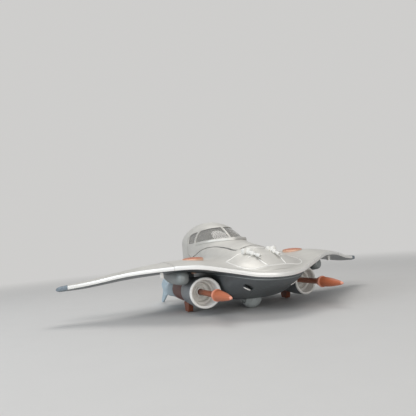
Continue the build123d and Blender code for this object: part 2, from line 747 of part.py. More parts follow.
# The barrel is a double tube, closed at its rear, that plugs into the drum.
spigot_radius = drum_end_radius - wall - seat_gap
spigot_y = drum_end_y - spigot_length
band_start_y = drum_end_y + seat_gap
barrel = [(bore_radius, dish_end_y), (barrel_radius, dish_end_y), (barrel_radius, band_end_y - wall),
          (band_end_radius - wall, band_end_y - wall), (spigot_radius - wall, spigot_y),
          (spigot_radius, spigot_y), (spigot_radius, band_start_y), (band_radius, band_start_y),
          (band_end_radius, band_end_y), (0, band_end_y), (0, spring_seat_y), (bore_radius, spring_seat_y)]
save_pair(turned(barrel, nacelle_x, nacelle_z), "launcher_barrel")
band_outline = [(0, drum_end_y), (band_radius, drum_end_y), (band_end_radius, band_end_y), (0, band_end_y)]
band_body = turned(band_outline, nacelle_x, nacelle_z)

nose_radius = missile_collar_radius - 0.75
nose_end_y = missile_collar_y - missile_collar_half - 0.5
nose_length = nose_end_y - missile_tip_y
missile = [(0, missile_tip_y), (missile_tip_radius, missile_tip_y + 0.3)]
for share, fullness in ((0.25, 0.56), (0.5, 0.82), (0.75, 0.97), (1, 1)):
    missile.append((nose_radius * fullness, missile_tip_y + share * nose_length))
missile += [(missile_collar_radius, missile_collar_y - missile_collar_half),
            (missile_collar_radius, missile_collar_y + missile_collar_half),
            (missile_collar_radius - 1, missile_collar_y + 2 * missile_collar_half),
            (missile_shaft_radius, missile_collar_y + 3 * missile_collar_half),
            (missile_shaft_radius, missile_end_y), (0, missile_end_y)]
save_pair(turned(missile, nacelle_x, nacelle_z), "missile")
launch_coil = coil(nacelle_x, (missile_end_y + 0.5, nacelle_z), spring_seat_y - 0.5,
                   missile_shaft_radius - spring_wire, 7, "Y")
save_pair(launch_coil, "launch_spring")

ring_start_y = band_end_y + seat_gap
ring_end_radius = ring_radius - 0.5
ring = [(ring_end_radius - wall, ring_start_y), (ring_radius, ring_start_y), (ring_end_radius, ring_end_y),
        (0, ring_end_y), (0, ring_end_y - wall), (ring_end_radius - wall, ring_end_y - wall)]
tail_cone = [(ring_end_y - wall / 2, nacelle_z - 1, ring_end_radius - 1),
             (tail_ring_y - 5, tail_ring_z, tail_radius), (tail_ring_y, tail_ring_z, tail_radius - 0.5)]
fin_corners = [(tail_ring_y - 4, tail_ring_z - 5), (tail_ring_y - 4, tail_ring_z + 5),
               (tail_ring_y + 8, tail_ring_z + 6), (102, fin_top_z - 0.5), (106, fin_top_z),
               (tail_y - 5.5, fin_top_z - 7.5), (tail_y - 5, fin_top_z - 10), (tail_y - 12, 17),
               (tail_y, fin_foot_length - 4), (tail_y, 0), (tail_y - fin_foot_length, 0), (95, 12),
               (tail_ring_y + 6, tail_ring_z - 7)]
with BuildPart() as tail_fin:
    for y, z, radius in tail_cone:
        with BuildSketch(Plane.XZ.offset(-y)):
            with Locations((nacelle_x, z)):
                Circle(radius)
    loft()
    add(turned(ring, nacelle_x, nacelle_z))
    with BuildSketch(Plane.YZ.offset(nacelle_x - fin_thickness / 2)):
        with BuildLine():
            Polyline(*fin_corners, close=True)
        make_face()
    extrude(amount=fin_thickness)
save_pair(tail_fin.part, "tail_fin")

foot_root_z = nacelle_z - band_end_radius
with BuildPart() as foot:
    with BuildSketch(Plane.YZ.offset(nacelle_x + foot_offset - foot_width / 2)):
        with BuildLine():
            Polyline((foot_root_y[0], foot_root_z), (foot_root_y[1], foot_root_z),
                     (foot_sole_y[1], foot_low_z), (foot_sole_y[0], foot_low_z), close=True)
        make_face()
    extrude(amount=foot_width)
    add(band_body, mode=Mode.SUBTRACT)
save_pair(foot.part, "landing_foot")

with BuildPart() as pylon:
    add(slab((nacelle_x - pylon_half, pylon_y[0], nacelle_z + band_end_radius - 2 * wall),
             (nacelle_x + pylon_half, pylon_y[1], pylon_top_z)))
    add(band_body, mode=Mode.SUBTRACT)
    add(inner_plate, mode=Mode.SUBTRACT)
save_pair(pylon.part, "pylon")

# A blunt teardrop: shares of the fairing's radius at shares of its length.
teardrop_shape = [(0, 0), (0.46, 0.01), (0.8, 0.047), (0.95, 0.118), (1, 0.318), (0.9, 0.553), (0.56, 0.788),
                  (0, 1)]
teardrop = [(fairing_radius * r, fairing_nose_y + fairing_length * place) for r, place in teardrop_shape]
with BuildPart() as fairing:
    add(turned(teardrop, fairing_x, fairing_z))
    add(slab((0, nose_y, parting_point(fairing_x, 0.3)[1] - 1.5), (half_span, tail_y, roof_z)),
        mode=Mode.SUBTRACT)
    add(inner_plate, mode=Mode.SUBTRACT)
save_pair(fairing.part, "wing_fairing")

# ================================================================ fire buttons, guns, wheel, screws
with BuildPart() as fire_button:
    add(post(button_x, button_y, button_low_z, button_edge_z, button_radius))
    add(post(button_x, button_y, button_low_z, button_low_z + button_flange, button_radius + button_flange))
    add(post(button_x, button_y, button_stem_z, button_low_z + 1, button_stem_radius))
    with BuildSketch(Plane.XY.offset(button_edge_z)):
        with Locations((button_x, button_y)):
            Circle(button_radius)
    with BuildSketch(Plane.XY.offset(button_edge_z + button_dome)):
        with Locations((button_x, button_y)):
            Circle(0.6 * button_radius)
    loft()
save_pair(fire_button.part, "fire_button")
button_seat_z = parting_point(button_x, 0.37)[1]
button_coil = coil(button_x, (button_y, button_seat_z + 1.2), button_low_z - 0.5,
                   button_stem_radius + 1.6, 4, "Z")
save_pair(button_coil, "button_spring")

gun_plane = Plane(origin=gun_rear, z_dir=gun_front - gun_rear)
gun_steps = (0, breech_length, breech_length + sleeve_length, (gun_front - gun_rear).length)
block_y = gun_rear.Y - breech_length / 2
with BuildPart() as gun:
    for i, radius in enumerate(gun_radii):
        with BuildSketch(gun_plane.offset(gun_steps[i])):
            Circle(radius)
        extrude(amount=gun_steps[i + 1] - gun_steps[i])
    add(post(gun_rear.X - 0.5, block_y, gun_front.Z, gun_rear.Z - 1.4, gun_radii[0] - 0.7))
    add(spine_solid([-95, -87, -69, -49, -22], seat_gap), mode=Mode.SUBTRACT)
save_pair(gun.part, "deck_gun")

shoulder_y = wheel_y + wheel_radius - wheel_shoulder
hub_y = wheel_y + axle_radius + pin_gap
with BuildPart() as nose_wheel:
    with BuildSketch(Plane.XY.offset(wheel_radius)):
        with BuildLine():
            Polyline((-wheel_half, shoulder_y), (-wheel_half, hub_y), (wheel_half, hub_y),
                     (wheel_half, shoulder_y))
            Spline((-wheel_half, shoulder_y), (-wheel_half / 2, wheel_y + wheel_radius - wheel_shoulder / 4),
                   (0, wheel_y + wheel_radius), (wheel_half / 2, wheel_y + wheel_radius - wheel_shoulder / 4),
                   (wheel_half, shoulder_y))
        make_face()
    revolve(axis=Axis((0, wheel_y, wheel_radius), (1, 0, 0)))
save(nose_wheel.part, "nose_wheel")

with BuildPart(Pos(0, wheel_y, wheel_radius)) as axle:
    Cylinder(axle_radius, 2 * well_half + 3 * wall, rotation=(0, 90, 0))
save(axle.part, "wheel_axle")

with BuildPart() as case_screws:
    for x, y in boss_places:
        add(post(x, y, screw_seat_z - screw_head_height, screw_seat_z, screw_head_radius))
        add(post(x, y, screw_seat_z - 0.5, screw_tip_z - 1, screw_radius))
save(case_screws.part, "case_screws")
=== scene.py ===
"""Looks of the toy craft, laid out as an add-on. Shapes are in millimetres until they become meshes."""

import json
import math

import bmesh
import bpy
import numpy as np
from mathutils import Matrix, Vector


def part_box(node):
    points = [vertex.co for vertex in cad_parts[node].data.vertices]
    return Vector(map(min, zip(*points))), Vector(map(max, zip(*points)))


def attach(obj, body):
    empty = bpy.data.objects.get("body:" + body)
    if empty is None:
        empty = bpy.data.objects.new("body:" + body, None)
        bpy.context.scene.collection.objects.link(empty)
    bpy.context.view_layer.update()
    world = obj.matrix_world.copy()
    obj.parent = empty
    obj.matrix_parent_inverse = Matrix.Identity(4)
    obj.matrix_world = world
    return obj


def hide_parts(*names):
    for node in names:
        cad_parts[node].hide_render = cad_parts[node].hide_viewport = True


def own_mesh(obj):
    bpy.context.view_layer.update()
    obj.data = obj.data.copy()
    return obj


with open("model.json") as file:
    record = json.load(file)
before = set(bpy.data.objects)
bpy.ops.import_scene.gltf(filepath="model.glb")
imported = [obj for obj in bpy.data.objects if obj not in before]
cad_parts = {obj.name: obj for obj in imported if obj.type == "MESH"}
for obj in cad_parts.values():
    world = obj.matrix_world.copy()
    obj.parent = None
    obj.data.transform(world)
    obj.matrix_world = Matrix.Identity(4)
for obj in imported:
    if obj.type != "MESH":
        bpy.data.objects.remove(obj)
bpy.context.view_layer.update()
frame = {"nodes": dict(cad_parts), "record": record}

bl_info = {
    "name": "Toy Craft",
    "version": (1, 0, 0),
    "blender": (4, 5, 0),
    "location": "3D View > Sidebar > Toy Craft",
    "description": "Moulded skins, glazing, launchers and finishes for the toy craft",
    "category": "Object",
}

mm = 0.001

# ---------------------------------------------------------------- sizes, in millimetres
joint_x = 97.0
joint_gap = 0.2
cap_x = 198.0
band_height = 4.2
edge_height = 1.2
wall = 1.8
lead_y = [(0, -116.0), (25, -108.6), (50, -94.7), (76, -78.2), (101, -57.4), (138, -25.0), (176, 4.9),
          (210, 24.5)]
lead_z = [(0, 38.7), (25, 40.2), (50, 46.0), (76, 51.7), (101, 52.1), (138, 49.0), (176, 42.2), (210, 38.0)]
trail_y = [(0, 116.0), (36, 102.0), (63, 70.0), (97, 43.0), (138, 33.0), (176, 36.0), (210, 38.0)]
trail_z = [(0, 50.0), (63, 49.5), (97, 49.5), (138, 46.5), (176, 42.0), (210, 38.6)]
crown_rise = [(0, 18.0), (36, 10.2), (63, 8.6), (97, 6.6), (138, 4.2), (176, 2.6), (210, 1.0)]
belly_drop = [(0, 3.0), (97, 3.5), (176, 3.0), (210, 1.2)]
wing_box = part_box("left_tip_cap")
half_span = wing_box[1].x / mm

canopy_y = (-50.0, 73.0)
hinge_place = (0, -50.0, 69.6)
crown = [(-112, 43.6), (-106, 47.2), (-102, 50.0), (-87, 57.3), (-69, 64.5), (-49, 72.0), (-22, 76.8),
         (5, 82.6), (19, 91.5), (33, 98.6), (51, 104.3), (73, 107.6), (93, 106.5), (109, 101.0), (118, 92.0),
         (122, 84.0)]
girth = [(-112, 14.0), (-106, 22.0), (-102, 31.0), (-87, 42.0), (-69, 43.0), (-49, 41.0), (-22, 38.0),
         (5, 35.0), (33, 34.0), (51, 34.5), (73, 35.5), (93, 35.5), (109, 31.0), (118, 22.0), (122, 12.0)]
spring_line = [(-106, 42.0), (-87, 46.0), (-49, 49.0), (-22, 52.5), (5, 58.0), (33, 65.0), (51, 70.0),
               (73, 76.0), (93, 80.0), (122, 80.0)]
roundness = [(-106, 2.0), (-69, 1.7), (-49, 1.6), (-22, 1.7), (5, 1.9), (33, 2.0), (51, 2.1), (73, 2.1),
             (93, 1.95), (109, 1.85), (122, 2.0)]
canopy_line = [(-50, 67.8), (-27, 70.6), (-1, 73.4), (16, 72.4), (38, 67.4), (54, 62.6), (64, 61.6),
               (73, 66.0)]
fillet = [(-112, 3.0), (-100, 9.0), (-60, 10.0), (-20, 6.0), (20, 3.0), (122, 2.5)]

keel = [(-113, 37.0), (-107, 33.0), (-97, 27.5), (-84, 22.5), (-63, 14.5), (-45, 11.3), (-25, 10.5),
        (3, 10.5), (43, 14.0), (70, 23.0), (88, 38.0)]
hull_girth = [(-113, 10.0), (-107, 25.0), (-97, 36.0), (-84, 43.0), (-63, 47.0), (3, 47.0), (43, 42.0),
              (70, 34.0), (88, 22.0)]
hull_top = [(-113, 40.5), (-107, 43.0), (-97, 45.5), (-84, 48.5), (-57, 51.0), (88, 51.0)]
hull_roundness = [(-113, 2.0), (-84, 2.3), (-57, 3.0), (43, 3.0), (88, 2.4)]

wheel_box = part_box("nose_wheel")
wheel_y = (wheel_box[0].y + wheel_box[1].y) / 2 / mm
wheel_radius = wheel_box[1].z / 2 / mm
wheel_half = wheel_box[1].x / mm
nacelle_x = 63.4
nacelle_z = 25.3
rim_y = -57.0
rim_rake = math.radians(12)
button_x = 65.7
button_y = -30.0

nose_walk = 3.6        # how far below the crown the upper part of a nose section ends
below_wing = 38.0      # level that lies under the whole upper wing skin
below_sill = 50.0      # level that lies under the whole foot of the canopy
bubble_middle = 38.0   # place along y round which the canopy's level curves run
rim_middle = -50.0     # place along y round which the hull's rim runs
rim_drop = 2.7         # how far the hull's rim lies under the leading edge

# ---------------------------------------------------------------- view, in millimetres and degrees
camera_place = (-223.06, -476.24, 74.39)
camera_turn, camera_rise, camera_roll = -22.07, -5.22, -4.73
sensor_width = 36.0
lens_length = sensor_width * 417 / 416
table_half = 6000.0
fade_start, fade_end = 0.45, 1.3    # metres from the craft, where the table turns into the background


# ---------------------------------------------------------------- curves and surfaces
def curve(table, at, level_start=True):
    """Smooth curve through (place, value) points: cubic Hermite pieces, level at the first point."""
    knots = np.array(table, float)
    place, value = knots[:, 0], knots[:, 1]
    slope = np.zeros_like(value)
    slope[1:-1] = (value[2:] - value[:-2]) / (place[2:] - place[:-2])
    slope[-1] = (value[-1] - value[-2]) / (place[-1] - place[-2])
    if not level_start:
        slope[0] = (value[1] - value[0]) / (place[1] - place[0])
    at = np.clip(at, place[0], place[-1])
    i = np.clip(np.searchsorted(place, at, side="right") - 1, 0, len(place) - 2)
    span = place[i + 1] - place[i]
    u = (at - place[i]) / span
    return (
        value[i] * (2 * u**3 - 3 * u**2 + 1)
        + slope[i] * span * (u**3 - 2 * u**2 + u)
        + value[i + 1] * (3 * u**2 - 2 * u**3)
        + slope[i + 1] * span * (u**3 - u**2)
    )


def wing_point(x, share, rise):
    """Wing surface: the straight chord from leading to trailing edge, plus rise at each share along it."""
    x, share = np.broadcast_arrays(x, share)
    reach = np.abs(x)
    y = curve(lead_y, reach) * (1 - share) + curve(trail_y, reach) * share
    z = curve(lead_z, reach) * (1 - share) + curve(trail_z, reach) * share
    return np.stack([x, y, z + rise], -1)


def top_rise(x, share):
    """Height of the upper skin over the chord: band, thinning to the rear edge, plus a parabolic crown."""
    crest = curve(crown_rise, np.abs(x)) * 4 * share * (1 - share)
    return band_height * (1 - share) + edge_height * share + crest


def wing_top_z(x, y):
    """Height of the wing's upper skin above any point of the plan."""
    reach = np.abs(x)
    front, rear = curve(lead_y, reach), curve(trail_y, reach)
    share = np.clip((y - front) / (rear - front), 0, 1)
    return wing_point(x, share, top_rise(x, share))[..., 2]


def arch(y, turn, inset=0.0):
    """Superellipse arch of the spine: |x/half|^p + |(z-base)/(peak-base)|^p = 1, turn 0 at the side."""
    half = curve(girth, y) - inset
    base = curve(spring_line, y)
    peak = curve(crown, y) - inset
    power = 2 / curve(roundness, y)
    x = half * np.cos(turn).clip(0) ** power
    z = base + (peak - base) * np.sin(turn).clip(0) ** power
    return x, z


def spine_z(x, y):
    """Height of the spine's arch over a point of the plan, from the same superellipse."""
    half, base = curve(girth, y), curve(spring_line, y)
    peak, power = curve(crown, y), curve(roundness, y)
    inside = (1 - np.minimum(np.abs(x) / half, 1) ** power) ** (1 / power)
    return base + (peak - base) * inside


def hull_arch(y, turn):
    """Superellipse belly: hangs from hull_top to the keel, turn 0 at +x and pi at -x."""
    half, top = curve(hull_girth, y), curve(hull_top, y)
    low, power = curve(keel, y), 2 / curve(hull_roundness, y)
    side = np.sign(np.cos(turn))
    x = half * side * np.abs(np.cos(turn)) ** power
    z = top + (low - top) * np.sin(turn).clip(0) ** power
    return x, z


# ---------------------------------------------------------------- mesh making
def grid_faces(rows, columns, wrap_rows=False, wrap_columns=False):
    """Quads of a grid of points, closed on itself along rows or columns where asked."""
    index = np.arange(rows * columns).reshape(rows, columns)
    if wrap_rows:
        index = np.vstack([index, index[:1]])
    if wrap_columns:
        index = np.hstack([index, index[:, :1]])
    corners = [index[:-1, :-1], index[1:, :-1], index[1:, 1:], index[:-1, 1:]]
    return np.stack(corners, -1).reshape(-1, 4)


def make(name, points, faces, caps=(), crisp=38.0, outward=True):
    """Mesh object from points in millimetres. Poles are welded, and a closed skin is turned outwards."""
    mesh = bpy.data.meshes.new(name)
    corners = np.asarray(points, float).reshape(-1, 3) * mm
    mesh.from_pydata(corners, [], faces.tolist() + [list(cap) for cap in caps])
    shell = bmesh.new()
    shell.from_mesh(mesh)
    bmesh.ops.remove_doubles(shell, verts=shell.verts, dist=2e-6)
    bmesh.ops.dissolve_degenerate(shell, edges=shell.edges, dist=1e-7)
    if outward:
        bmesh.ops.recalc_face_normals(shell, faces=shell.faces)
    shell.to_mesh(mesh)
    shell.free()
    mesh.shade_smooth()
    mesh.set_sharp_from_angle(angle=math.radians(crisp))
    piece = bpy.data.objects.new(name, mesh)
    bpy.context.scene.collection.objects.link(piece)
    return piece


def loft(name, loops, crisp=38.0):
    """Closed solid through (stations, points, 3) loops, with a flat face at each end."""
    rows, columns = loops.shape[:2]
    ends = [range(columns), range((rows - 1) * columns, rows * columns)]
    return make(name, loops, grid_faces(rows, columns, wrap_columns=True), ends, crisp)


def turned(name, profile, centre, axis="y", count=96, shear=None, crisp=38.0):
    """Lathe: profile of (radius, place) swept round a line through centre; a closed profile wraps."""
    profile = np.array(profile, float)
    closed = profile[0, 0] > 0 or profile[-1, 0] > 0
    turn = np.linspace(0, 2 * math.pi, count, endpoint=False)
    radius, place = profile[:, :1], profile[:, 1:]
    across = [radius * np.cos(turn), place + 0 * turn, radius * np.sin(turn)]
    order = {"x": (1, 0, 2), "y": (0, 1, 2), "z": (0, 2, 1)}[axis]
    points = np.stack([across[i] for i in order], -1) + np.array(centre, float)
    if shear is not None:
        points = shear(points)
    return make(name, points, grid_faces(len(profile), count, closed, True), crisp=crisp)


def prism(name, outline, low, high, axis="x", crisp=38.0):
    """Flat plate: a closed outline in the plane across axis, carried straight from low to high."""
    outline = np.array(outline, float)
    order = {"x": (0, 1, 2), "y": (1, 0, 2), "z": (1, 2, 0)}[axis]
    ends = [np.insert(outline, 0, at, axis=1)[:, order] for at in (low, high)]
    return loft(name, np.stack(ends), crisp)


def rounded(corners, radius, steps=6):
    """Outline with each corner replaced by a quadratic curve that starts and ends radius away from it."""
    corners = np.array(corners, float)
    before = np.roll(corners, 1, 0) - corners
    after = np.roll(corners, -1, 0) - corners
    reach = np.array(radius, float) * np.ones(len(corners))
    start_length, end_length = np.linalg.norm(before, axis=1), np.linalg.norm(after, axis=1)
    start = corners + before * (np.minimum(reach / start_length, 0.49))[:, None]
    end = corners + after * (np.minimum(reach / end_length, 0.49))[:, None]
    u = np.linspace(0, 1, steps)[None, :, None]
    bend = start[:, None] * (1 - u) ** 2 + corners[:, None] * 2 * u * (1 - u) + end[:, None] * u**2
    return bend.reshape(-1, 2)


def soften(piece, width, segments=2, angle=40.0):
    """Small rounded edges, wherever the skin turns by more than angle."""
    bevel = piece.modifiers.new("Soft edges", "BEVEL")
    bevel.width = width * mm
    bevel.segments = segments
    bevel.limit_method = "ANGLE"
    bevel.angle_limit = math.radians(angle)
    bevel.harden_normals = True
    bevel.use_clamp_overlap = True
    return piece


def cut(piece, *cutters):
    """Takes the cutters out of the piece for good, and removes them."""
    for cutter in cutters:
        saw = piece.modifiers.new("Cut", "BOOLEAN")
        saw.operation = "DIFFERENCE"
        saw.object = cutter
        saw.solver = "EXACT"
        bpy.context.view_layer.objects.active = piece
        bpy.ops.object.modifier_apply(modifier=saw.name)
        bpy.data.objects.remove(cutter)
    piece.data.shade_smooth()
    piece.data.set_sharp_from_angle(angle=math.radians(30))
    return piece


def thicken(piece, thickness):
    """Gives an open skin its wall, inwards."""
    solid = piece.modifiers.new("Wall", "SOLIDIFY")
    solid.thickness = thickness * mm
    solid.offset = -1
    bpy.context.view_layer.objects.active = piece
    bpy.ops.object.modifier_apply(modifier=solid.name)
    piece.data.shade_smooth()
    piece.data.set_sharp_from_angle(angle=math.radians(38))
    return piece


def join(name, pieces):
    """One piece out of several that belong to the same moulding."""
    bpy.ops.object.select_all(action="DESELECT")
    for piece in pieces:
        piece.select_set(True)
    bpy.context.view_layer.objects.active = pieces[0]
    bpy.ops.object.join()
    pieces[0].name = name
    return pieces[0]


def mount(piece, finish, body, slot, *nodes):
    """Paints a piece and fixes it to its body, in place of the nodes it stands for."""
    if not piece.data.materials:
        piece.data.materials.append(finish)
    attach(piece, body)
    if nodes:
        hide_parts(*nodes)
    return piece


# ---------------------------------------------------------------- shader maths
class Value:
    """A shader socket that can be added, subtracted and multiplied like a number."""

    def __init__(self, finish, socket):
        self.finish = finish
        self.socket = socket

    def math(self, operation, *others):
        values = dict(enumerate((self, *others)))
        return self.finish.add("ShaderNodeMath", values, operation=operation)

    def __add__(self, other):
        return self.math("ADD", other)

    __radd__ = __add__

    def __mul__(self, other):
        return self.math("MULTIPLY", other)

    __rmul__ = __mul__

    def __sub__(self, other):
        return self.math("SUBTRACT", other)

    def __rsub__(self, other):
        return self * -1 + other

    def between(self, low, high):
        """0 below low, 1 above high, and smooth in between."""
        values = {"Value": self, "From Min": low, "From Max": high, "To Min": 0.0, "To Max": 1.0}
        return self.finish.add("ShaderNodeMapRange", values, interpolation_type="SMOOTHSTEP")


class Nodes:
    """The nodes of a material or a world: every node comes from add."""

    def __init__(self, owner):
        owner.use_nodes = True
        self.tree = owner.node_tree

    def add(self, kind, values=None, output=0, **settings):
        """One node of a kind, with its settings first and then its sockets' values or links."""
        node = self.tree.nodes.new(kind)
        for key, setting in settings.items():
            setattr(node, key, setting)
        self.feed(node, values or {})
        return Value(self, node.outputs[output])

    def feed(self, node, values):
        """Sets a node's sockets, or links them to other nodes."""
        for key, value in values.items():
            if isinstance(value, Value):
                self.tree.links.new(value.socket, node.inputs[key])
            else:
                node.inputs[key].default_value = value

    def in_sight(self):
        """1 for rays that come from the camera, from gloss or through clear plastic, and 0 for all others."""
        seen = self.add("ShaderNodeLightPath", output="Is Camera Ray")
        for ray in ("Is Glossy Ray", "Is Transmission Ray"):
            seen = seen.math("MAXIMUM", self.add("ShaderNodeLightPath", output=ray))
        return seen


class Finish(Nodes):
    """A material being made: paint connects its shader."""

    def __init__(self, name):
        self.material = bpy.data.materials.new(name)
        super().__init__(self.material)
        self.shader = self.tree.nodes["Principled BSDF"]

    def place(self, stretch=(1, 1, 1)):
        """Where a point lies on the piece, in metres, each way stretched."""
        spot = self.add("ShaderNodeTexCoord", output="Object")
        return self.add("ShaderNodeMapping", {"Vector": spot, "Scale": stretch})

    def noise(self, size, detail=3.0, stretch=(1, 1, 1), rough=0.5):
        """Soft noise from 0 to 1, with lumps of about size millimetres."""
        values = {"Scale": 1 / (size * mm), "Detail": detail, "Roughness": rough}
        return self.add("ShaderNodeTexNoise", {"Vector": self.place(stretch), **values}, output="Fac")

    def tint(self, colour, amount):
        """A colour made lighter or darker by a varying amount."""
        values = {0: colour if isinstance(colour, Value) else tuple(colour)[:3], "Scale": amount}
        return self.add("ShaderNodeVectorMath", values, operation="SCALE")

    def blend(self, factor, first, second):
        """Mix of two colours."""
        pair = {6: first, 7: second}
        values = {k: v if isinstance(v, Value) else (*tuple(v)[:3], 1.0) for k, v in pair.items()}
        return self.add("ShaderNodeMix", {0: factor, **values}, output=2, data_type="RGBA")

    def bump(self, height, depth):
        """Relief of depth millimetres at its full height."""
        return self.add("ShaderNodeBump", {"Height": height, "Distance": depth * mm, "Strength": 1.0})

    def paint(self, **sockets):
        """Sets or links the shader's sockets, and gives the material back."""
        self.feed(self.shader, {key.replace("_", " "): value for key, value in sockets.items()})
        return self.material


def moulded(name, colour, roughness, metal=0.0, flow=0.1, dust=0.12, grain=0.02, spots=None):
    """Moulded plastic: cloudy colour, flow marks, pepper grain, rubbed patches, hairlines and dust."""
    finish = Finish(name)
    clouds = finish.noise(38, 4)
    marks = finish.noise(9, 3, (0.22, 1.0, 1.6), 0.6)
    pepper = finish.noise(0.9, 2)
    rubbed = finish.noise(17, 5, (1, 1, 1), 0.62).between(0.56, 0.74)
    hairline = finish.noise(1.6, 1, (0.06, 1, 1)).between(0.66, 0.72)
    strength = 1.0 + (clouds - 0.5) * 0.2 + (marks - 0.5) * flow + (pepper - 0.5) * 0.06
    base = finish.tint(spots(finish) if spots else colour, strength)
    pale = tuple(min(1.0, c * 0.75 + 0.18) for c in tuple(colour)[:3])
    base = finish.blend(rubbed * dust, base, pale)
    base = finish.blend(hairline * (dust * 0.8), base, pale)
    gloss = roughness + (clouds - 0.5) * 0.14 + rubbed * 0.1 + (marks - 0.5) * 0.08
    skin = finish.bump(finish.noise(0.42, 2) + marks * 0.8 - hairline * 0.5, grain)
    return finish.paint(Base_Color=base, Roughness=gloss, Metallic=metal, Normal=skin)


def smoked_glass(name, colour):
    """Clear smoky moulding: tinted, slightly hazy, with faint moulding waves and handling smears."""
    finish = Finish(name)
    waves = finish.noise(14, 2)
    smears = finish.noise(6, 4, (1, 0.4, 1.6)).between(0.5, 0.75)
    base = finish.tint(colour, 0.9 + waves * 0.2)
    haze = 0.06 + smears * 0.1
    finish.shader.inputs["Transmission Weight"].default_value = 0.8
    finish.shader.inputs["IOR"].default_value = 1.35
    skin = finish.bump(waves, 0.12)
    return finish.paint(Base_Color=base, Roughness=haze, Normal=skin)


def drawn_steel(name, colour):
    """Steel wire, pins and screws: drawn streaks, dull spots and a light burr."""
    finish = Finish(name)
    streaks = finish.noise(0.5, 2, (1, 0.1, 1))
    dull = finish.noise(3, 3).between(0.5, 0.7)
    base = finish.tint(colour, 0.85 + streaks * 0.3)
    skin = finish.bump(streaks, 0.01)
    return finish.paint(Base_Color=base, Roughness=0.28 + dull * 0.2, Metallic=1.0, Normal=skin)


def painted_bands(axis, edges, colours, soft=0.4):
    """Colour that changes along an axis at the given places: returns a function that makes it in a finish."""

    def spots(finish):
        spot = finish.place()
        along = finish.add("ShaderNodeSeparateXYZ", {"Vector": spot}, output=axis)
        mixed = colours[0]
        for edge, colour in zip(edges, colours[1:]):
            mixed = finish.blend(along.between((edge - soft) * mm, (edge + soft) * mm), mixed, colour)
        return mixed

    return spots


# ---------------------------------------------------------------- settings
def colour_setting(name, words, value):
    return bpy.props.FloatVectorProperty(
        name=name, description=words, default=value, size=3, min=0, max=1, subtype="COLOR"
    )


def length_setting(name, words, value):
    return bpy.props.FloatProperty(name=name, description=words, default=value, min=0, unit="LENGTH")


class CraftColours(bpy.types.PropertyGroup):
    """Colours of the mouldings."""

    silver: colour_setting("Silver", "Upper skins, deck and canopy frame", (0.56, 0.55, 0.52))
    # Band: a lighter copy of the silver, the painted highlight on the front faces of the wing's leading band
    # and on the deck's raised lines.
    band: colour_setting("Band", "Painted highlight on the wing's leading band", (0.78, 0.77, 0.74))
    hull: colour_setting("Hull", "Belly and undersides of the wing", (0.125, 0.136, 0.142))
    cowl: colour_setting("Cowl", "Engine drums and pylons", (0.17, 0.18, 0.19))
    pod: colour_setting("Pod", "Shoulder pods under the wings", (0.25, 0.27, 0.268))
    intake: colour_setting("Intake", "Intake dishes, guns and release tabs", (0.76, 0.75, 0.715))
    orange: colour_setting("Orange", "Missiles and fire buttons", (0.46, 0.135, 0.062))
    brown: colour_setting("Brown", "Launcher bands and landing feet", (0.12, 0.035, 0.026))
    tail: colour_setting("Tail", "Tail rings and fins", (0.36, 0.455, 0.51))
    # Tip: dark blue-grey, the shade on the caps' outward ends painted into their colour.
    tip: colour_setting("Tip", "Wing tip caps", (0.16, 0.195, 0.225))
    wheel: colour_setting("Wheel", "Nose wheel", (0.48, 0.52, 0.515))
    cabin: colour_setting("Cabin", "Cockpit tub, seat and panel", (0.30, 0.30, 0.29))
    glass: colour_setting("Glass", "Canopy glazing", (0.68, 0.67, 0.64))
    steel: colour_setting("Steel", "Springs, pins and screws", (0.6, 0.6, 0.59))
    floor: colour_setting("Floor", "Table top and background", (0.62, 0.615, 0.605))


class CraftSizes(bpy.types.PropertyGroup):
    """Small sizes of the mouldings."""

    soft_edge: length_setting("Soft edge", "Rounding of moulded edges", 0.45 * mm)
    canopy_gap: length_setting("Canopy gap", "Dark line between canopy and deck", 0.9 * mm)
    ridge_width: length_setting("Ridge width", "Width of the raised lines on the skins", 1.25 * mm)
    ridge_height: length_setting("Ridge height", "Height of the raised lines on the skins", 0.55 * mm)
    joint_step: length_setting("Joint step", "How far the outer wing lies below the inner", 0.4 * mm)


def shade(colour, strength, lift=0.0):
    """A colour made lighter or darker, and then paler by lift."""
    return tuple(min(1.0, part * strength + lift) for part in tuple(colour)[:3])


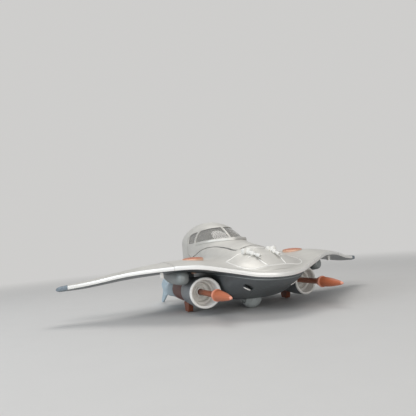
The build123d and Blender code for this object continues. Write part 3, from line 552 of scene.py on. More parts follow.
def made_finishes():
    """Every finish, made once and kept by its slot name."""
    if "Silver plastic" in bpy.data.materials:
        return {m["slot"]: m for m in bpy.data.materials if "slot" in m}
    c = bpy.context.scene.craft_colours
    # Missile colours: a lighter copy of the orange paints highlights on the tip nub and the collar ring. The
    # collar's back is a little darker and the shaft darker still.
    shaft = shade(c.orange, 0.6)
    orange_highlight = shade(c.orange, 1.3, 0.14)
    dart = (orange_highlight, c.orange, orange_highlight, shade(c.orange, 0.85), shaft)
    dart = painted_bands("Y", (-119.8, -89.2, -86.3, -81.5), dart)
    barrel = painted_bands("Y", (-17.0,), (shade(c.intake, 0.7), c.brown), 0.1)
    tail = painted_bands("Y", (43.4, 44.3), (c.tail, shade(c.orange, 0.5), c.tail), 0.15)
    # Button: the side wall below 61.8 mm is a pale peach, a lighter copy of the orange that paints the
    # highlight on the lit rim; the top stays orange.
    disc = painted_bands("Z", (61.8,), ((0.72, 0.45, 0.32), c.orange), 0.2)
    made = {
        "silver_body": moulded("Silver plastic", c.silver, 0.46, 0.5, 0.2, 0.16),
        # The band finish is the silver painted lighter where light falls on the upright leading faces: a
        # painted highlight.
        "band": moulded("Bright edge", c.band, 0.3, 0.15, 0.08, 0.08),
        "dark_hull": moulded("Dark hull plastic", c.hull, 0.36, 0.3, 0.3, 0.08),
        "cowl_grey": moulded("Cowl grey plastic", c.cowl, 0.44, 0.15, 0.25, 0.16),
        "pod_grey": moulded("Pod grey plastic", c.pod, 0.44, 0.15, 0.12, 0.12),
        "intake_white": moulded("Pale intake plastic", c.intake, 0.36, 0.0, 0.1, 0.06),
        "missile_orange": moulded("Orange plastic", c.orange, 0.42, 0.0, 0.16, 0.08, spots=dart),
        "button_orange": moulded("Orange button", c.orange, 0.38, 0.0, 0.12, 0.12, spots=disc),
        "launcher_brown": moulded("Red-brown plastic", c.brown, 0.5, 0.0, 0.4, 0.05, spots=barrel),
        "foot_brown": moulded("Red-brown foot", shade(c.orange, 0.42), 0.5, 0.0, 0.3, 0.06),
        "tail_pale_blue": moulded("Pale blue plastic", c.tail, 0.48, 0.0, 0.14, 0.12, spots=tail),
        # Tip caps: their dark blue-grey is painted shade.
        "tip_blue_grey": moulded("Blue-grey plastic", c.tip, 0.44, 0.1, 0.15, 0.2),
        "wheel_grey": moulded("Wheel grey plastic", c.wheel, 0.46, 0.05, 0.1, 0.14),
        "cockpit_grey": moulded("Cabin grey plastic", c.cabin, 0.55, 0.0, 0.1, 0.1),
        "clear_smoke": smoked_glass("Smoked glazing", c.glass),
        "steel": drawn_steel("Drawn steel", c.steel),
    }
    for slot, material in made.items():
        material["slot"] = slot
    return made


def sides():
    """Left lies along +x and right along -x."""
    return (("left", 1), ("right", -1))


class PieceOperator:
    """Shared by the operators: each makes its pieces or raises."""

    bl_options = {"REGISTER"}

    def execute(self, context):
        self.build(made_finishes(), context.scene.craft_sizes)
        return {"FINISHED"}


# ---------------------------------------------------------------- wings
def wing_loops(places, lowered=0.0):
    """Sections of the upper skin: bulged band in front, crowned top, thin rear edge, flat underside."""
    x = places[:, None]
    climb = np.linspace(0, 1, 7)[None, :-1]
    share = (1 - np.cos(np.linspace(0, math.pi, 49)))[None, :] / 2
    step = lowered * (1 - share)
    face = wing_point(x, 0 * climb, (band_height - lowered) * climb)
    face[..., 1] -= 0.35 * np.sin(climb * math.pi)
    top = wing_point(x, share, top_rise(x, share) - step)
    back = wing_point(x, np.linspace(1, 0.02, 12)[None, :], 0.0)
    return np.concatenate([face, top, back], 1)


def belly_loops(places):
    """Sections of the lower skin: flat top on the parting plane and a shallow parabolic belly."""
    x = places[:, None]
    share = np.linspace(0, 1, 33)[None, :]
    drop = -edge_height * share - curve(belly_drop, np.abs(x)) * 4 * share * (1 - share)
    low = wing_point(x, share, drop)
    top = wing_point(x, np.linspace(1, 0, 12)[None, 1:-1], 0.0)
    return np.concatenate([low, top], 1)


def paint_band_highlight(piece, silver, band_highlight):
    """Gives the upright front faces of a wing skin a painted highlight: the band colour, a lighter copy of
    the silver.
    """
    piece.data.materials.append(silver)
    piece.data.materials.append(band_highlight)
    faces = len(piece.data.polygons)
    normals = np.empty(faces * 3)
    centres = np.empty(faces * 3)
    piece.data.polygons.foreach_get("normal", normals)
    piece.data.polygons.foreach_get("center", centres)
    normals, centres = normals.reshape(-1, 3), centres.reshape(-1, 3) / mm
    front = curve(lead_y, np.abs(centres[:, 0]))
    # Faces that look forwards at the front edge get the painted highlight.
    highlight_faces = (normals[:, 1] < -0.3) & (np.abs(normals[:, 2]) < 0.45) & (centres[:, 1] < front + 1.5)
    piece.data.polygons.foreach_set("material_index", highlight_faces.astype(np.int32))


class CRAFT_OT_wings(PieceOperator, bpy.types.Operator):
    """Upper and lower skins of the inner and outer wings, with a painted highlight on the leading band"""

    bl_idname = "craft.wings"
    bl_label = "Wings"

    def build(self, finishes, sizes):
        silver, dark = finishes["silver_body"], finishes["dark_hull"]
        deck = loft("wing_deck_skin", wing_loops(np.linspace(-joint_x, joint_x, 195)))
        hole = [(0, 40), (12.3, 40), (12.3, 80), (0, 80)]
        cut(deck, *(turned("hole", hole, (side * button_x, button_y, 0), "z") for side in (-1, 1)))
        paint_band_highlight(deck, silver, finishes["band"])
        mount(soften(deck, sizes.soft_edge / mm), silver, "airframe", "silver_body", "wing_deck")
        belly = loft("wing_belly_skin", belly_loops(np.linspace(-joint_x, joint_x, 121)))
        mount(belly, dark, "airframe", "dark_hull", "wing_belly")
        for name, side in sides():
            places = side * np.linspace(joint_x + joint_gap, cap_x, 101)
            skin = loft(f"{name}_wing_skin", wing_loops(places, sizes.joint_step / mm))
            paint_band_highlight(skin, silver, finishes["band"])
            body = f"{name}_outer_wing"
            mount(soften(skin, sizes.soft_edge / mm), silver, body, "silver_body", f"{name}_wing_top")
            low = loft(f"{name}_wing_belly", belly_loops(places))
            mount(low, dark, body, "dark_hull", f"{name}_wing_bottom")
            self.cap(name, side, finishes["tip_blue_grey"])

    def cap(self, name, side, finish):
        """Tip cap: the wing's section, shrunk along a quarter circle over its last stretch."""
        places = np.linspace(cap_x + 0.1, half_span, 25)
        rounding = np.clip((places - (half_span - 5)) / 5, 0, 1)
        shrink = np.sqrt(1 - 0.93 * rounding**2)[:, None, None]
        top = wing_loops(places)[:, :55]
        low = belly_loops(places)[:, 32::-1]
        loops = np.concatenate([top, low[:, 1:-1]], 1)
        middle = loops.mean(1, keepdims=True)
        loops = middle + (loops - middle) * shrink
        loops[..., 0] = side * places[:, None]
        mount(soften(loft(f"{name}_tip", loops), 0.6), finish, f"{name}_outer_wing", "tip_blue_grey",
              f"{name}_tip_cap")


# ---------------------------------------------------------------- spine and canopy
def foot_of_arch(y):
    """A fine walk down each arch from crown to foot, its length so far, and where it meets the wing."""
    walk = np.linspace(0, 2, 401)[None, :]
    x, z = arch(y[:, None], (1 - np.minimum(walk, 1)) * math.pi / 2)
    base = curve(spring_line, y)[:, None]
    z = np.where(walk > 1, base + (below_wing - base) * (walk - 1), z)
    above = z - wing_top_z(x, y[:, None] + 0 * x)
    length = np.concatenate([np.zeros((len(y), 1)), np.hypot(np.diff(x), np.diff(z)).cumsum(1)], 1)
    meets = np.argmax(above < 0, axis=1)
    return x, z, length, meets


def spine_rows(y, start_z):
    """Half sections of the spine: from start_z down the arch, then a rounded foot onto the wing."""
    x, z, length, meets = foot_of_arch(y)
    upper, middle, rounding = 22, 26, 9
    rows = []
    for i in range(len(y)):
        j = max(meets[i], 1)
        wide = min(curve(fillet, y[i]), length[i, j] * 0.6)
        split = np.interp(-start_z[i], -z[i], length[i]) if start_z[i] < z[i, 0] else 0.0
        split = min(split, length[i, j] - wide - 0.5)
        lower = np.linspace(split, length[i, j] - wide, middle)[1:]
        places = np.concatenate([np.linspace(0, split, upper), lower])
        px, pz = np.interp(places, length[i], x[i]), np.interp(places, length[i], z[i])
        corner = np.array([x[i, j], z[i, j]])
        out_x = corner[0] + wide
        out = np.array([out_x, wing_top_z(out_x, y[i]) - 0.04])
        u = np.linspace(0, 1, rounding)[1:, None]
        top = np.array([px[-1], pz[-1]])
        foot = top * (1 - u) ** 2 + corner * 2 * u * (1 - u) + out * u**2
        rows.append(np.concatenate([np.stack([px, pz], 1), foot]))
    return np.array(rows), upper


def skin_height(y, rows):
    """Height of the deck's skin over the plan, read between its half sections and out onto the wing."""
    across = np.linspace(0, 70, 281)
    table = np.array([np.interp(across, row[:, 0], row[:, 1]) for row in rows])
    wing = wing_top_z(across[None, :], y[:, None])
    table = np.where(across[None, :] > rows[:, -1, :1], wing, np.maximum(table, wing))

    def height(px, py):
        """Mix of the two nearest sections, each read at the same distance from the middle."""
        at = np.clip(np.interp(py, y, np.arange(len(y))), 0, len(y) - 1.001)
        out = np.clip(np.abs(px) / across[1], 0, len(across) - 1.001)
        i, j = at.astype(int), out.astype(int)
        u, v = at - i, out - j
        near = table[i, j] * (1 - v) + table[i, j + 1] * v
        return near * (1 - u) + (table[i + 1, j] * (1 - v) + table[i + 1, j + 1] * v) * u

    return height


def mirrored_grid(y, rows):
    """Whole sections from half ones that start at the crown: right foot, crown, left foot."""
    half = np.stack([rows[..., 0], y[:, None] + 0 * rows[..., 0], rows[..., 1]], -1)
    other = half[:, :0:-1] * np.array([-1, 1, 1])
    return np.concatenate([other, half], 1)


def ridge(name, path, height_at, width, height, side=1):
    """Raised moulding line: a half-round profile carried along a path that lies on a surface."""
    path = np.array(path, float)
    step = np.concatenate([[0], np.hypot(*np.diff(path, axis=0).T).cumsum()])
    count = int(step[-1] * 1.5) + 20
    at = np.linspace(0, step[-1], count)
    x, y = (curve(np.column_stack([step, path[:, k]]), at, False) for k in (0, 1))
    along = np.stack([np.gradient(x), np.gradient(y)], 1)
    along /= np.linalg.norm(along, axis=1, keepdims=True)
    turn = np.linspace(0, 2 * math.pi, 12, endpoint=False)[None, :]
    fade = np.sqrt(np.clip(np.minimum(at, at[::-1]) / width, 0, 1))[:, None]
    across = width / 2 * np.cos(turn) * fade
    px, py = x[:, None] - along[:, 1:] * across, y[:, None] + along[:, :1] * across
    pz = height_at(px, py) + height * np.sin(turn) * fade
    return loft(name, np.stack([side * px, py, pz], -1))


class CRAFT_OT_deck(PieceOperator, bpy.types.Operator):
    """Nose deck, pod walls and rear fairing, with rounded feet and raised lines"""

    bl_idname = "craft.deck"
    bl_label = "Deck"

    def build(self, finishes, sizes):
        silver = finishes["silver_body"]
        gap = sizes.canopy_gap / mm
        y = np.concatenate([np.linspace(-110.5, -70, 60), np.linspace(-69.5, canopy_y[0] - gap, 40),
                            np.linspace(canopy_y[0] - gap + 0.01, canopy_y[1] + gap, 180)])
        y = y[curve(crown, y) > wing_top_z(0 * y, y) + 0.03]
        start_z = curve(canopy_line, y) - gap
        ahead = y < canopy_y[0]
        start_z[ahead] = curve(crown, y[ahead]) - nose_walk
        rows, upper = spine_rows(y, start_z)
        grid = mirrored_grid(y, rows)
        faces = grid_faces(*grid.shape[:2]).reshape(len(y) - 1, -1, 4)
        middle = rows.shape[1] - 1
        column = np.arange(faces.shape[1])
        under_canopy = (column >= middle - upper + 1) & (column < middle + upper - 1)
        keep = ~(under_canopy[None, :] & (y[1:, None] > canopy_y[0] - gap + 0.005))
        deck = make("nose_deck_skin", grid, faces[keep], outward=False)
        turn_out(deck)
        thicken(deck, wall)
        cut(deck, turned("hinge_relief", [(0, -16), (2.5, -16), (2.5, 16), (0, 16)], hinge_place, "x"))
        mount(soften(deck, 0.3), silver, "airframe", "silver_body", "nose_deck")
        self.fairing(silver, gap)
        self.lines(finishes["band"], sizes, skin_height(y, rows))

    def fairing(self, silver, gap):
        """Closed rear of the pod: whole sections over a flat bottom, drawn in over the last stretch."""
        y = np.linspace(canopy_y[1] + gap, 122, 90)
        rows, _ = spine_rows(y, curve(crown, y) - 12)
        loops = mirrored_grid(y, rows)
        tuck = np.clip((y - 116) / 6, 0, 1)[:, None, None]
        middle = loops.mean(1, keepdims=True) * np.array([0, 1, 1])
        shrink = np.sqrt(1 - 0.35 * tuck**2)
        loops = middle + (loops - middle) * np.where(np.array([True, False, True]), shrink, 1)
        fairing = soften(loft("rear_fairing_skin", loops), 1.2)
        mount(fairing, silver, "airframe", "silver_body", "rear_fairing")

    def lines(self, band_highlight, sizes, height_at):
        """Raised lines of the deck: a panel round the nose, and two from each gun to its edge. They get the
        band's painted highlight.
        """
        width, height = sizes.ridge_width / mm, sizes.ridge_height / mm
        panel = [(-38.7, -60), (-39.2, -77), (-37.3, -89), (-33.5, -95.5), (-26, -99.8), (-12.5, -101.6),
                 (0, -102)]
        panel += [(-x, y) for x, y in panel[-2::-1]]
        bridge = [(-11, -59), (-5, -59.6), (5, -59.6), (11, -59)]
        paths = [("nose_panel", panel, 1), ("gun_bridge", bridge, 1)]
        for name, side in sides():
            paths += [(f"{name}_rear_line", [(20, -60.5), (29, -61), (38.7, -60)], side),
                      (f"{name}_short_line", [(21.7, -78.7), (17.5, -76.6), (13.6, -74.9)], side),
                      (f"{name}_front_line", [(13.2, -87), (12, -94), (10.6, -101)], side)]
        pieces = [ridge(name, path, height_at, width, height, side) for name, path, side in paths]
        # The raised lines are painted with the band colour: a painted highlight, a lighter copy of the
        # silver.
        mount(join("deck_lines", pieces), band_highlight, "airframe", "silver_body")


def turn_out(piece):
    """Turns an open skin so that its faces look away from the craft's middle line."""
    mesh = piece.data
    normals, centres = np.empty(len(mesh.polygons) * 3), np.empty(len(mesh.polygons) * 3)
    mesh.polygons.foreach_get("normal", normals)
    mesh.polygons.foreach_get("center", centres)
    away = centres.reshape(-1, 3) - np.array([0, 0, 40 * mm])
    away[:, 1] = 0
    if (normals.reshape(-1, 3) * away).sum() < 0:
        mesh.flip_normals()


def canopy_rows(y, low_z, inset, count=40):
    """Sections of the bubble from low_z on one side over the crown to the other."""
    walk = np.linspace(0, 2, 401)[None, :]
    x, z = arch(y[:, None], (1 - np.minimum(walk, 1)) * math.pi / 2, inset)
    base = curve(spring_line, y)[:, None]
    z = np.where(walk > 1, base + (below_sill - base) * (walk - 1), z)
    length = np.concatenate([np.zeros((len(y), 1)), np.hypot(np.diff(x), np.diff(z)).cumsum(1)], 1)
    rows = []
    for i in range(len(y)):
        end = np.interp(-low_z[i], -z[i], length[i])
        at = np.linspace(0, end, count)
        rows.append(np.stack([np.interp(at, length[i], x[i]), np.interp(at, length[i], z[i])], 1))
    return np.array(rows)


def level_ring(turn, level):
    """Where the bubble has a given height, along each direction of the plan from its middle: by halving."""
    near, far = 0 * turn * level, 60 + 0 * turn * level
    for _ in range(30):
        half = (near + far) / 2
        inside = spine_z(half * np.sin(turn), bubble_middle - half * np.cos(turn)) > level
        near, far = np.where(inside, half, near), np.where(inside, far, half)
    return near * np.sin(turn), bubble_middle - near * np.cos(turn)


class CRAFT_OT_canopy(PieceOperator, bpy.types.Operator):
    """Canopy frame with its window openings, and the glazing behind them"""

    bl_idname = "craft.canopy"
    bl_label = "Canopy"

    def build(self, finishes, sizes):
        y = np.linspace(*canopy_y, 220)
        rows = canopy_rows(y, curve(canopy_line, y), 0.0, 56)
        grid = mirrored_grid(y, rows)
        shell = make("canopy_shell", grid, grid_faces(*grid.shape[:2]), outward=False)
        turn_out(shell)
        thicken(shell, wall)
        screen = [(-20, 83.0), (5, 83.0), (48.5, 80.0), (51, 95.4), (36, 98.0), (-20, 98.0)]
        screen = rounded(screen, [1, 1, 2.2, 3.0, 4.0, 1])
        quarter = [(51.8, 79.8), (70.6, 79.2), (70.6, 91.6), (53.4, 94.8)]
        quarter = rounded(quarter, [2.0, 4.0, 5.0, 2.5])
        for side in (-1, 1):
            cut(shell, prism("pane", screen, side * 1.35, side * 80))
            cut(shell, prism("pane", quarter, side * 8, side * 80))
        mount(soften(shell, 0.28), finishes["silver_body"], "canopy", "silver_body", "canopy_frame")
        self.sill(finishes["silver_body"])
        self.glazing(finishes["clear_smoke"])

    def sill(self, finish):
        """Ledge under the windscreen: a wall on a level curve of the bubble, capped back to a higher one."""
        turn = np.radians(np.linspace(-104, 104, 180))[:, None]
        y = level_ring(turn, 81.0)[1]
        high = np.interp(y, [5, 48], [83.1, 79.8])
        low = high - 3.7
        back, rise, proud = np.array([(0, -0.1, 0), (0, 0.08, 0.6), (0.03, 0.3, 0.8), (0.06, 0.6, 0.8),
                                      (0.1, 0.86, 0.72), (0.18, 0.98, 0.5), (0.6, 1.03, 0.3), (1, 1.03, 0.15),
                                      (1, 0.8, -0.9), (0, -0.4, -0.9)]).T[:, None, :]
        lower, upper = np.stack(level_ring(turn, low)), np.stack(level_ring(turn, high))
        fade = np.clip((turn[-1] - np.abs(turn)) * 4, 0, 1) ** 0.5
        proud = np.where(proud > 0, proud * fade, proud)
        x, y = lower * (1 - back) + upper * back + proud * np.stack([np.sin(turn), -np.cos(turn)])
        outer = np.stack([x, y, low + (high - low) * rise], -1)
        ledge = soften(loft("canopy_sill", outer), 0.15)
        mount(ledge, finish, "canopy", "silver_body")

    def glazing(self, finish):
        """Clear bubble: the same arches, set a little inside the frame's outer face."""
        y = np.linspace(-9, 72, 110)
        y = y[curve(crown, y) - 0.7 > 79.0]
        rows = canopy_rows(y, 0 * y + 78.0, 0.55, 34)
        grid = mirrored_grid(y, rows)
        bubble = make("canopy_glazing", grid, grid_faces(*grid.shape[:2]), outward=False)
        turn_out(bubble)
        mount(thicken(bubble, 1.0), finish, "canopy", "clear_smoke", "windscreen", "left_quarter_window",
              "right_quarter_window")


# ---------------------------------------------------------------- hull and wheel
def under_slot(side):
    """Turns a bar that lies along x up by 28 degrees and sets it under the chin slot of one side."""
    lean = math.radians(28)

    def shear(points):
        x, y, z = np.moveaxis(points, -1, 0)
        turned_x = x * math.cos(lean) - z * math.sin(lean)
        turned_z = x * math.sin(lean) + z * math.cos(lean)
        return np.stack([(28.2 + turned_x) * side, -84.1 + y * 0.9, 27.6 + turned_z], -1)

    return shear


class CRAFT_OT_hull(PieceOperator, bpy.types.Operator):
    """Boat-shaped belly with its wheel well and chin slots"""

    bl_idname = "craft.hull"
    bl_label = "Hull"

    def build(self, finishes, sizes):
        y = np.linspace(-113, 88, 170)[:, None]
        turn = np.linspace(0, math.pi, 97)[None, :]
        x, z = hull_arch(y, turn)
        hull = loft("hull_skin", np.stack([x, y + 0 * x, z], -1))
        well = wheel_half + 1.5
        reach = wheel_radius + 1.2
        front, rear = wheel_y - reach, wheel_y + reach
        box = rounded([(front, -2), (rear, -2), (rear, 25.4), (front, 25.4)], 2.0)
        cut(hull, prism("well", box, -well, well))
        slot = np.array([(22.6, 25.4), (33.2, 31.0), (33.0, 33.4), (26.5, 30.9), (22.4, 27.6)])
        for side in (-1, 1):
            cut(hull, prism("slot", rounded(slot * (side, 1), 1.0), -120, -78, "y"))
        mount(soften(hull, 0.35), finishes["dark_hull"], "airframe", "dark_hull", "lower_hull")
        self.lines(finishes)

    def lines(self, finishes):
        """Creases past the chin slots, a raised rim under the leading edge in pod grey as a painted
        highlight, and the slots' lips.
        """

        def underside(px, py):
            """Height of the belly over the plan, from the same superellipse."""
            half, top = curve(hull_girth, py), curve(hull_top, py)
            low, power = curve(keel, py), curve(hull_roundness, py)
            return top + (low - top) * (1 - np.minimum(np.abs(px) / half, 1) ** power) ** (1 / power)

        crease = [(1.5, -106.5), (9, -98.5), (19, -87), (20.5, -78), (17, -66)]
        pieces = [ridge(f"{name}_crease", crease, underside, 1.0, 0.3, side) for name, side in sides()]
        mount(join("hull_creases", pieces), finishes["dark_hull"], "airframe", "dark_hull")
        turn = np.radians(np.linspace(-112, 112, 200))[:, None]
        near, far = 0 * turn, 80 + 0 * turn
        for _ in range(30):
            half = (near + far) / 2
            x, y = half * np.sin(turn), rim_middle - half * np.cos(turn)
            below = underside(x, y) < curve(lead_z, np.abs(x)) - rim_drop
            near, far = np.where(below, half, near), np.where(below, far, half)
        around = np.linspace(0, 2 * math.pi, 14, endpoint=False)[None, :]
        reach = near + 0.1 + 0.6 * np.cos(around)
        height = curve(lead_z, np.abs(x)) - rim_drop + 0.5 * np.sin(around)
        rim = np.stack([reach * np.sin(turn), rim_middle - reach * np.cos(turn), height], -1)
        # The rim belongs to the dark hull; pod grey paints the highlight along its lit edge.
        mount(loft("hull_rim_highlight", rim), finishes["pod_grey"], "airframe", "dark_hull")
        lips = []
        bar = [(0, -4.4), (0.5, -4.1), (0.85, -2.8), (1.0, 0), (0.85, 2.8), (0.5, 4.1), (0, 4.4)]
        for name, side in sides():
            lips.append(turned(f"{name}_lip", bar, (0, 0, 0), "x", 40, under_slot(side)))
        mount(join("slot_lips", lips), finishes["intake_white"], "airframe", "dark_hull")


class CRAFT_OT_wheel(PieceOperator, bpy.types.Operator):
    """Ball-like nose wheel with grooves running round it"""

    bl_idname = "craft.wheel"
    bl_label = "Nose wheel"

    def build(self, finishes, sizes):
        across = np.linspace(-wheel_half, wheel_half, 161)
        radius = wheel_radius * np.sqrt(1 - 0.62 * (across / wheel_half) ** 2)
        groove = np.clip(np.cos(across * 2 * math.pi / 2.7) * 1.6, 0, 1)
        radius -= 0.5 * groove * np.clip((wheel_half - np.abs(across)) / 2, 0, 1)
        rim = [(1.6, wheel_half - 1.5), (5.0, wheel_half - 1.5), (5.6, wheel_half - 0.3)]
        profile = [(r, -x) for r, x in rim] + list(zip(radius, across)) + rim[::-1]
        wheel = turned("ribbed_nose_wheel", profile, (0, wheel_y, wheel_radius), "x", 128, crisp=50)
        mount(wheel, finishes["wheel_grey"], "nose_wheel", "wheel_grey", "nose_wheel")


# ---------------------------------------------------------------- launchers
def raked(side):
    """Leans a nacelle's rim: y moves with x by the rake's tangent, fading out behind the rim."""

    def shear(points):
        points = points.copy()
        fade = np.clip((-40 - points[..., 1]) / 14, 0, 1)
        points[..., 1] += side * (points[..., 0] - side * nacelle_x) * math.tan(rim_rake) * fade
        return points

    return shear


class CRAFT_OT_launchers(PieceOperator, bpy.types.Operator):
    """Engine drums with raked rims, stepped intake dishes, barrels, fairings and feet"""

    bl_idname = "craft.launchers"
    bl_label = "Launchers"

    def build(self, finishes, sizes):
        for name, side in sides():
            centre = (side * nacelle_x, 0, nacelle_z)
            drum = [(14.3, rim_y + 3.1), (16.2, rim_y + 3.1), (16.75, rim_y + 9), (16.8, -42), (16.5, -35),
                    (15.9, -27), (15.2, -19), (14.9, -16.4), (14.4, -16), (13.2, -16), (13.2, -22),
                    (14.3, -34)]
            cowl = turned(f"{name}_drum", drum, centre, shear=raked(side))
            mount(soften(cowl, 0.3), finishes["cowl_grey"], "airframe", "cowl_grey", f"{name}_cowl")
            dish = [(14.2, rim_y + 3), (16.35, rim_y + 2.9), (16.5, rim_y + 1.2), (16.0, rim_y + 0.2),
                    (15.0, rim_y - 0.1), (13.9, rim_y + 0.5), (13.5, rim_y + 1.8), (13.2, rim_y + 7),
                    (12.9, -45.5), (12.3, -44.6), (10.9, -44.2), (10.6, -43.4), (10.3, -38.6), (9.6, -38.1),
                    (7.2, -38.0), (6.9, -39.2), (6.1, -39.4), (5.9, -38.2), (5.2, -38.4), (5.0, -41),
                    (3.6, -41.2), (3.4, -40.6), (3.4, -36.2), (14.2, -36.2)]
            bowl = soften(turned(f"{name}_dish", dish, centre, shear=raked(side), crisp=30), 0.25)
            mount(bowl, finishes["intake_white"], "airframe", "intake_white", f"{name}_intake_dish")
            self.barrel(name, side, centre, finishes)
            self.fairing(name, side, finishes)
            self.foot(name, side, finishes)

    def barrel(self, name, side, centre, finishes):
        """Barrel inside the drum, and the red-brown band behind it."""
        barrel = [(0, 20), (3.4, 20), (3.4, -36), (8, -36), (8, -21), (13.0, -19), (13.0, -15.9),
                  (13.7, -15.8), (14.0, -15.0), (13.9, -8), (13.6, 6), (13.2, 18), (13.0, 23.4), (12.6, 24),
                  (0, 24)]
        piece = turned(f"{name}_band", barrel, centre)
        mount(soften(piece, 0.3), finishes["launcher_brown"], "airframe", "launcher_brown",
              f"{name}_launcher_barrel")

    def fairing(self, name, side, finishes):
        """Shoulder pod: superellipse sections of power 2.5 whose size follows a blunt-nosed teardrop."""
        shape = [(0, 0.0), (0.006, 0.3), (0.02, 0.58), (0.047, 0.8), (0.085, 0.92), (0.14, 0.98),
                 (0.318, 1.0), (0.553, 0.9), (0.788, 0.56), (0.93, 0.22), (1, 0.02)]
        nose = 0.14 * (1 - np.cos(np.linspace(0, math.pi / 2, 28)))
        share = np.concatenate([nose, np.linspace(0.15, 1, 44)])
        scale = curve(shape, share, False)[:, None]
        turn = np.linspace(0, 2 * math.pi, 64, endpoint=False)[None, :]
        power = 2 / 2.5
        x = 7.6 * np.sign(np.cos(turn)) * np.abs(np.cos(turn)) ** power
        z = 7.9 * np.sign(np.sin(turn)) * np.abs(np.sin(turn)) ** power
        y = -55 + 85 * share[:, None] + 0 * turn
        points = np.stack([side * (85 + x * scale), y, 43 + z * scale], -1)
        pod = loft(f"{name}_shoulder", points)
        mount(pod, finishes["pod_grey"], "airframe", "dark_hull", f"{name}_wing_fairing")

    def foot(self, name, side, finishes):
        """Flat landing foot under the band."""
        outline = rounded([(-13, 12), (4, 12), (1.2, 0.8), (-9.8, 0.8)], [1, 1, 1.6, 1.6])
        low, high = sorted((side * 62.9, side * 68.9))
        foot = soften(prism(f"{name}_foot", outline, low, high), 0.9, 3)
        mount(foot, finishes["foot_brown"], "airframe", "launcher_brown", f"{name}_landing_foot")


class CRAFT_OT_missiles(PieceOperator, bpy.types.Operator):
    """Missiles with their collars, and the tail rings and fins"""

    bl_idname = "craft.missiles"
    bl_label = "Missiles and fins"

    def build(self, finishes, sizes):
        share = np.linspace(0, 1, 30)
        swell = 1.3 + 4.0 * np.sin(share * math.pi / 2) ** 0.85
        ogive = list(zip(swell, -120.9 + 31.4 * share))
        tip = [(0, -122), (0.6, -121.95), (1.05, -121.6)]
        rest = [(5.6, -89.3), (6.0, -89.1), (6.2, -88.5), (6.25, -87.6), (6.1, -86.7), (5.7, -86.2),
                (5.0, -86.0), (4.85, -84.5), (4.7, -82.4), (4.3, -81.5), (3.3, -81.0), (3.1, -80.0),
                (3.1, 7.4), (2.6, 8.0), (0, 8.0)]
        for name, side in sides():
            missile = turned(f"{name}_dart", tip + ogive + rest, (side * nacelle_x, 0, nacelle_z), count=72)
            mount(missile, finishes["missile_orange"], f"{name}_missile", "missile_orange", f"{name}_missile")
            self.tail(name, side, finishes["tail_pale_blue"])

    def tail(self, name, side, finish):
        """Ring, drooping tail cone lofted between circles, and a swept fin with rounded corners."""
        stations = [(24.1, 25.3, 10.6), (24.1, 25.3, 12.2), (24.7, 25.3, 12.6), (30, 25.3, 12.5),
                    (36, 25.3, 12.3), (43.0, 25.3, 12.1), (43.6, 25.3, 11.6), (44.2, 25.2, 11.2),
                    (44.9, 25.0, 11.6), (48, 24.6, 11.3), (56, 23.4, 10.4), (64, 22.2, 9.6),
                    (70, 21.6, 9.1), (72.6, 21.5, 8.7), (73.3, 21.5, 7.6), (73.4, 21.5, 0.2)]
        y, z, radius = np.array(stations).T[:, :, None]
        turn = np.linspace(0, 2 * math.pi, 72, endpoint=False)[None, :]
        loops = [side * nacelle_x + radius * np.cos(turn), y + 0 * turn, z + radius * np.sin(turn)]
        ring = loft(f"{name}_ring", np.stack(loops, -1))
        corners = [(69, 16.5), (69, 26.5), (81, 27.5), (102, 33), (106, 33.5), (116.5, 26), (117, 23.5),
                   (110, 17), (122, 2.5), (122, 0.02), (115.5, 0.02), (95, 12), (79, 14.5)]
        radii = [1, 1, 4, 3, 3, 2, 2.5, 5, 1.2, 0.8, 3, 6, 4]
        low, high = sorted((side * nacelle_x - 1.2, side * nacelle_x + 1.2))
        fin = prism(f"{name}_plate", rounded(corners, radii, 7), low, high)
        piece = join(f"{name}_tail", [ring, fin])
        mount(soften(piece, 0.45, 3), finish, "airframe", "tail_pale_blue", f"{name}_tail_fin")


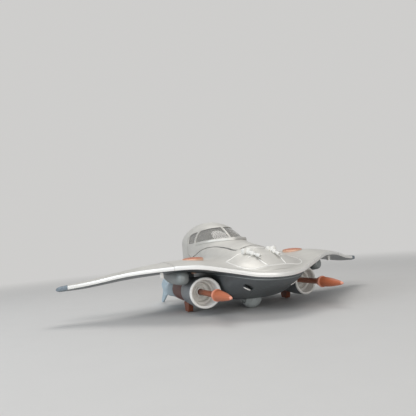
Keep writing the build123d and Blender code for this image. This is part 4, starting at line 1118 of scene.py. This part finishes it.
# ---------------------------------------------------------------- small pieces
class CRAFT_OT_details(PieceOperator, bpy.types.Operator):
    """Fire buttons, deck guns and the remaining nodes of the frame"""

    bl_idname = "craft.details"
    bl_label = "Details"

    def build(self, finishes, sizes):
        for name, side in sides():
            self.button(name, side, finishes["button_orange"])
            self.gun(name, side, finishes["intake_white"])
        for entry in frame["record"]["subparts"]:
            node = frame["nodes"][entry["node"]]
            node.data.materials.clear()
            node.data.materials.append(finishes[entry["material_slot"]])
        for name, side in sides():
            spring = frame["nodes"][f"{name}_button_spring"]
            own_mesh(spring)

    def button(self, name, side, finish):
        """Fire button: domed disc with a rolled edge, flange and stem."""
        u = np.linspace(0, 1, 14)
        dome = [(11.4 * (1 - a), 62.3 + 1.3 * (1 - (1 - a) ** 2)) for a in u]
        profile = [(0, 45.2), (3.0, 45.2), (3.0, 55.8), (13.2, 55.8), (13.3, 57.0), (12.0, 57.1),
                   (12.0, 61.4), (11.8, 62.0)] + dome
        disc = turned(f"{name}_disc", profile, (side * button_x, button_y, 0), "z", 96)
        mount(disc, finish, f"{name}_button", "missile_orange", f"{name}_fire_button")

    def gun(self, name, side, finish):
        """Deck gun: a crosswise drum, and a lathe of sleeve, slim barrel and muzzle laid along its bore."""
        rear, front = np.array([15.3, -65.5, 65.6]), np.array([11.4, -88.5, 59.8])
        reach = np.linalg.norm(front - rear)
        profile = [(0, 0.0), (2.9, 0.0), (2.9, 5.6), (2.5, 6.2), (1.9, 6.6), (1.9, 8.2), (2.5, 8.6),
                   (2.6, 12.4), (2.1, 13.0), (1.4, 13.4), (1.35, 17.6), (1.8, 18.0), (2.0, 18.6), (2.0, 22.4),
                   (1.7, reach), (0.8, reach), (0.7, reach - 2), (0, reach - 2)]
        along = (front - rear) / reach
        across = np.cross(along, (0, 0, 1))
        across /= np.linalg.norm(across)
        up = np.cross(across, along)

        def lay(points):
            """Stands the lathe's axis along the bore and its x across the deck."""
            spot = rear + points[..., :1] * across + points[..., 1:2] * along + points[..., 2:] * up
            return spot * np.array([side, 1, 1])

        drum = [(0, -5.4), (2.6, -5.4), (3.2, -5.0), (3.4, -4.2), (3.4, -1.6), (3.1, -1.2), (3.1, 1.2),
                (3.4, 1.6), (3.4, 4.2), (3.2, 5.0), (2.6, 5.4), (0, 5.4)]
        barrel = turned(f"{name}_barrel", profile, (0, 0, 0), "y", 48, lay)
        breech = turned(f"{name}_breech", drum, rear * np.array([side, 1, 1]), "x", 48)
        gun = join(f"{name}_gun", [barrel, breech])
        mount(soften(gun, 0.2), finish, "airframe", "intake_white", f"{name}_deck_gun")


# ---------------------------------------------------------------- stage
class CRAFT_OT_stage(bpy.types.Operator):
    """Pale table, soft lamps and the camera"""

    bl_idname = "craft.stage"
    bl_label = "Stage"

    def execute(self, context):
        scene = context.scene
        scene.view_settings.view_transform = "Standard"
        colour = tuple(scene.craft_colours.floor)
        self.floor(colour)
        self.sky(scene, colour)
        self.lamp("Key", (-0.6, -0.8, 1.05), 5.6, 0.8, (1.0, 0.965, 0.92))
        self.lamp("Front", (-0.25, -1.3, 0.28), 4.4, 0.7, (1.0, 0.98, 0.95))
        self.lamp("Top", (0.1, 0.35, 1.3), 5.5, 0.7, (1.0, 0.98, 0.95))
        self.lamp("Fill", (-1.25, -0.2, 0.42), 7.0, 0.7, (0.84, 0.92, 1.0))
        self.camera(scene)
        return {"FINISHED"}

    def floor(self, colour):
        """Table top, a plane with faint grain that fades into the background away from the craft."""
        finish = Finish("Table")
        tone = 0.97 + finish.noise(30, 3) * 0.04 + finish.noise(2, 2) * 0.02
        weave = finish.bump(finish.noise(1.5), 0.05)
        finish.paint(Base_Color=finish.tint(colour, tone), Roughness=0.7, Normal=weave)
        away = finish.add("ShaderNodeVectorMath", {0: finish.place()}, output="Value", operation="LENGTH")
        fade = away.between(fade_start, fade_end) * finish.in_sight()
        glow = finish.add("ShaderNodeEmission", {"Color": (*colour, 1.0), "Strength": 1.0})
        matt = Value(finish, finish.shader.outputs[0])
        mixed = finish.add("ShaderNodeMixShader", {0: fade, 1: matt, 2: glow})
        finish.feed(finish.tree.nodes["Material Output"], {"Surface": mixed})
        corners = np.array([[-1, -1, 0], [1, -1, 0], [1, 1, 0], [-1, 1, 0]]) * table_half
        table = make("table_top", corners, np.array([[0, 1, 2, 3]]), outward=False)
        table.data.materials.append(finish.material)

    def sky(self, scene, colour):
        """Soft even light all round; the background shows the table's own colour."""
        scene.world = bpy.data.worlds.new("Room")
        room = Nodes(scene.world)
        soft = room.tree.nodes["Background"]
        room.feed(soft, {"Color": (0.93, 0.96, 1.0, 1.0), "Strength": 0.3})
        seen = room.add("ShaderNodeBackground", {"Color": (*colour, 1.0), "Strength": 1.0})
        light = Value(room, soft.outputs[0])
        mixed = room.add("ShaderNodeMixShader", {0: room.in_sight(), 1: light, 2: seen})
        room.feed(room.tree.nodes["World Output"], {"Surface": mixed})

    def lamp(self, name, spot, power, size, colour):
        """Square softbox that looks at the craft's middle."""
        light = bpy.data.lights.new(name, "AREA")
        light.energy = power
        light.size = size
        light.color = colour
        lamp = bpy.data.objects.new(name, light)
        bpy.context.scene.collection.objects.link(lamp)
        lamp.location = spot
        aim = Vector((0, 0, 0.05)) - lamp.location
        lamp.rotation_euler = aim.to_track_quat("-Z", "Y").to_euler()

    def camera(self, scene):
        """Low camera to the craft's right front, level with the canopy and leaned a little."""
        turn, rise, roll = np.radians((camera_turn, camera_rise, camera_roll))
        back = np.array([math.sin(turn) * math.cos(rise), -math.cos(turn) * math.cos(rise), math.sin(rise)])
        right = np.array([math.cos(turn), math.sin(turn), 0.0])
        up = np.cross(back, right)
        leaned = math.cos(roll) * right + math.sin(roll) * up
        top = -math.sin(roll) * right + math.cos(roll) * up
        lens = bpy.data.cameras.new("Camera")
        lens.sensor_width = sensor_width
        lens.lens = lens_length
        camera = bpy.data.objects.new("Camera", lens)
        scene.collection.objects.link(camera)
        place = Matrix(np.column_stack([leaned, top, back]).tolist()).to_4x4()
        place.translation = np.array(camera_place) * mm
        camera.matrix_world = place
        scene.camera = camera


class CRAFT_PT_panel(bpy.types.Panel):
    """Lists the pieces and their settings"""

    bl_idname = "CRAFT_PT_panel"
    bl_label = "Toy Craft"
    bl_space_type = "VIEW_3D"
    bl_region_type = "UI"
    bl_category = "Toy Craft"

    def draw(self, context):
        for group in (context.scene.craft_colours, context.scene.craft_sizes):
            box = self.layout.box()
            for name in group.__annotations__:
                box.prop(group, name)
        for operator in operators:
            self.layout.operator(operator.bl_idname)


operators = (CRAFT_OT_stage, CRAFT_OT_wings, CRAFT_OT_deck, CRAFT_OT_canopy, CRAFT_OT_hull, CRAFT_OT_wheel,
             CRAFT_OT_launchers, CRAFT_OT_missiles, CRAFT_OT_details)
classes = (CraftColours, CraftSizes, *operators, CRAFT_PT_panel)


def register():
    for made in classes:
        bpy.utils.register_class(made)
    bpy.types.Scene.craft_colours = bpy.props.PointerProperty(type=CraftColours)
    bpy.types.Scene.craft_sizes = bpy.props.PointerProperty(type=CraftSizes)


def unregister():
    del bpy.types.Scene.craft_colours
    del bpy.types.Scene.craft_sizes
    for made in reversed(classes):
        bpy.utils.unregister_class(made)


def main():
    register()
    for operator in operators:
        getattr(bpy.ops.craft, operator.bl_idname.split(".")[1])()


if __name__ == "__main__":
    main()
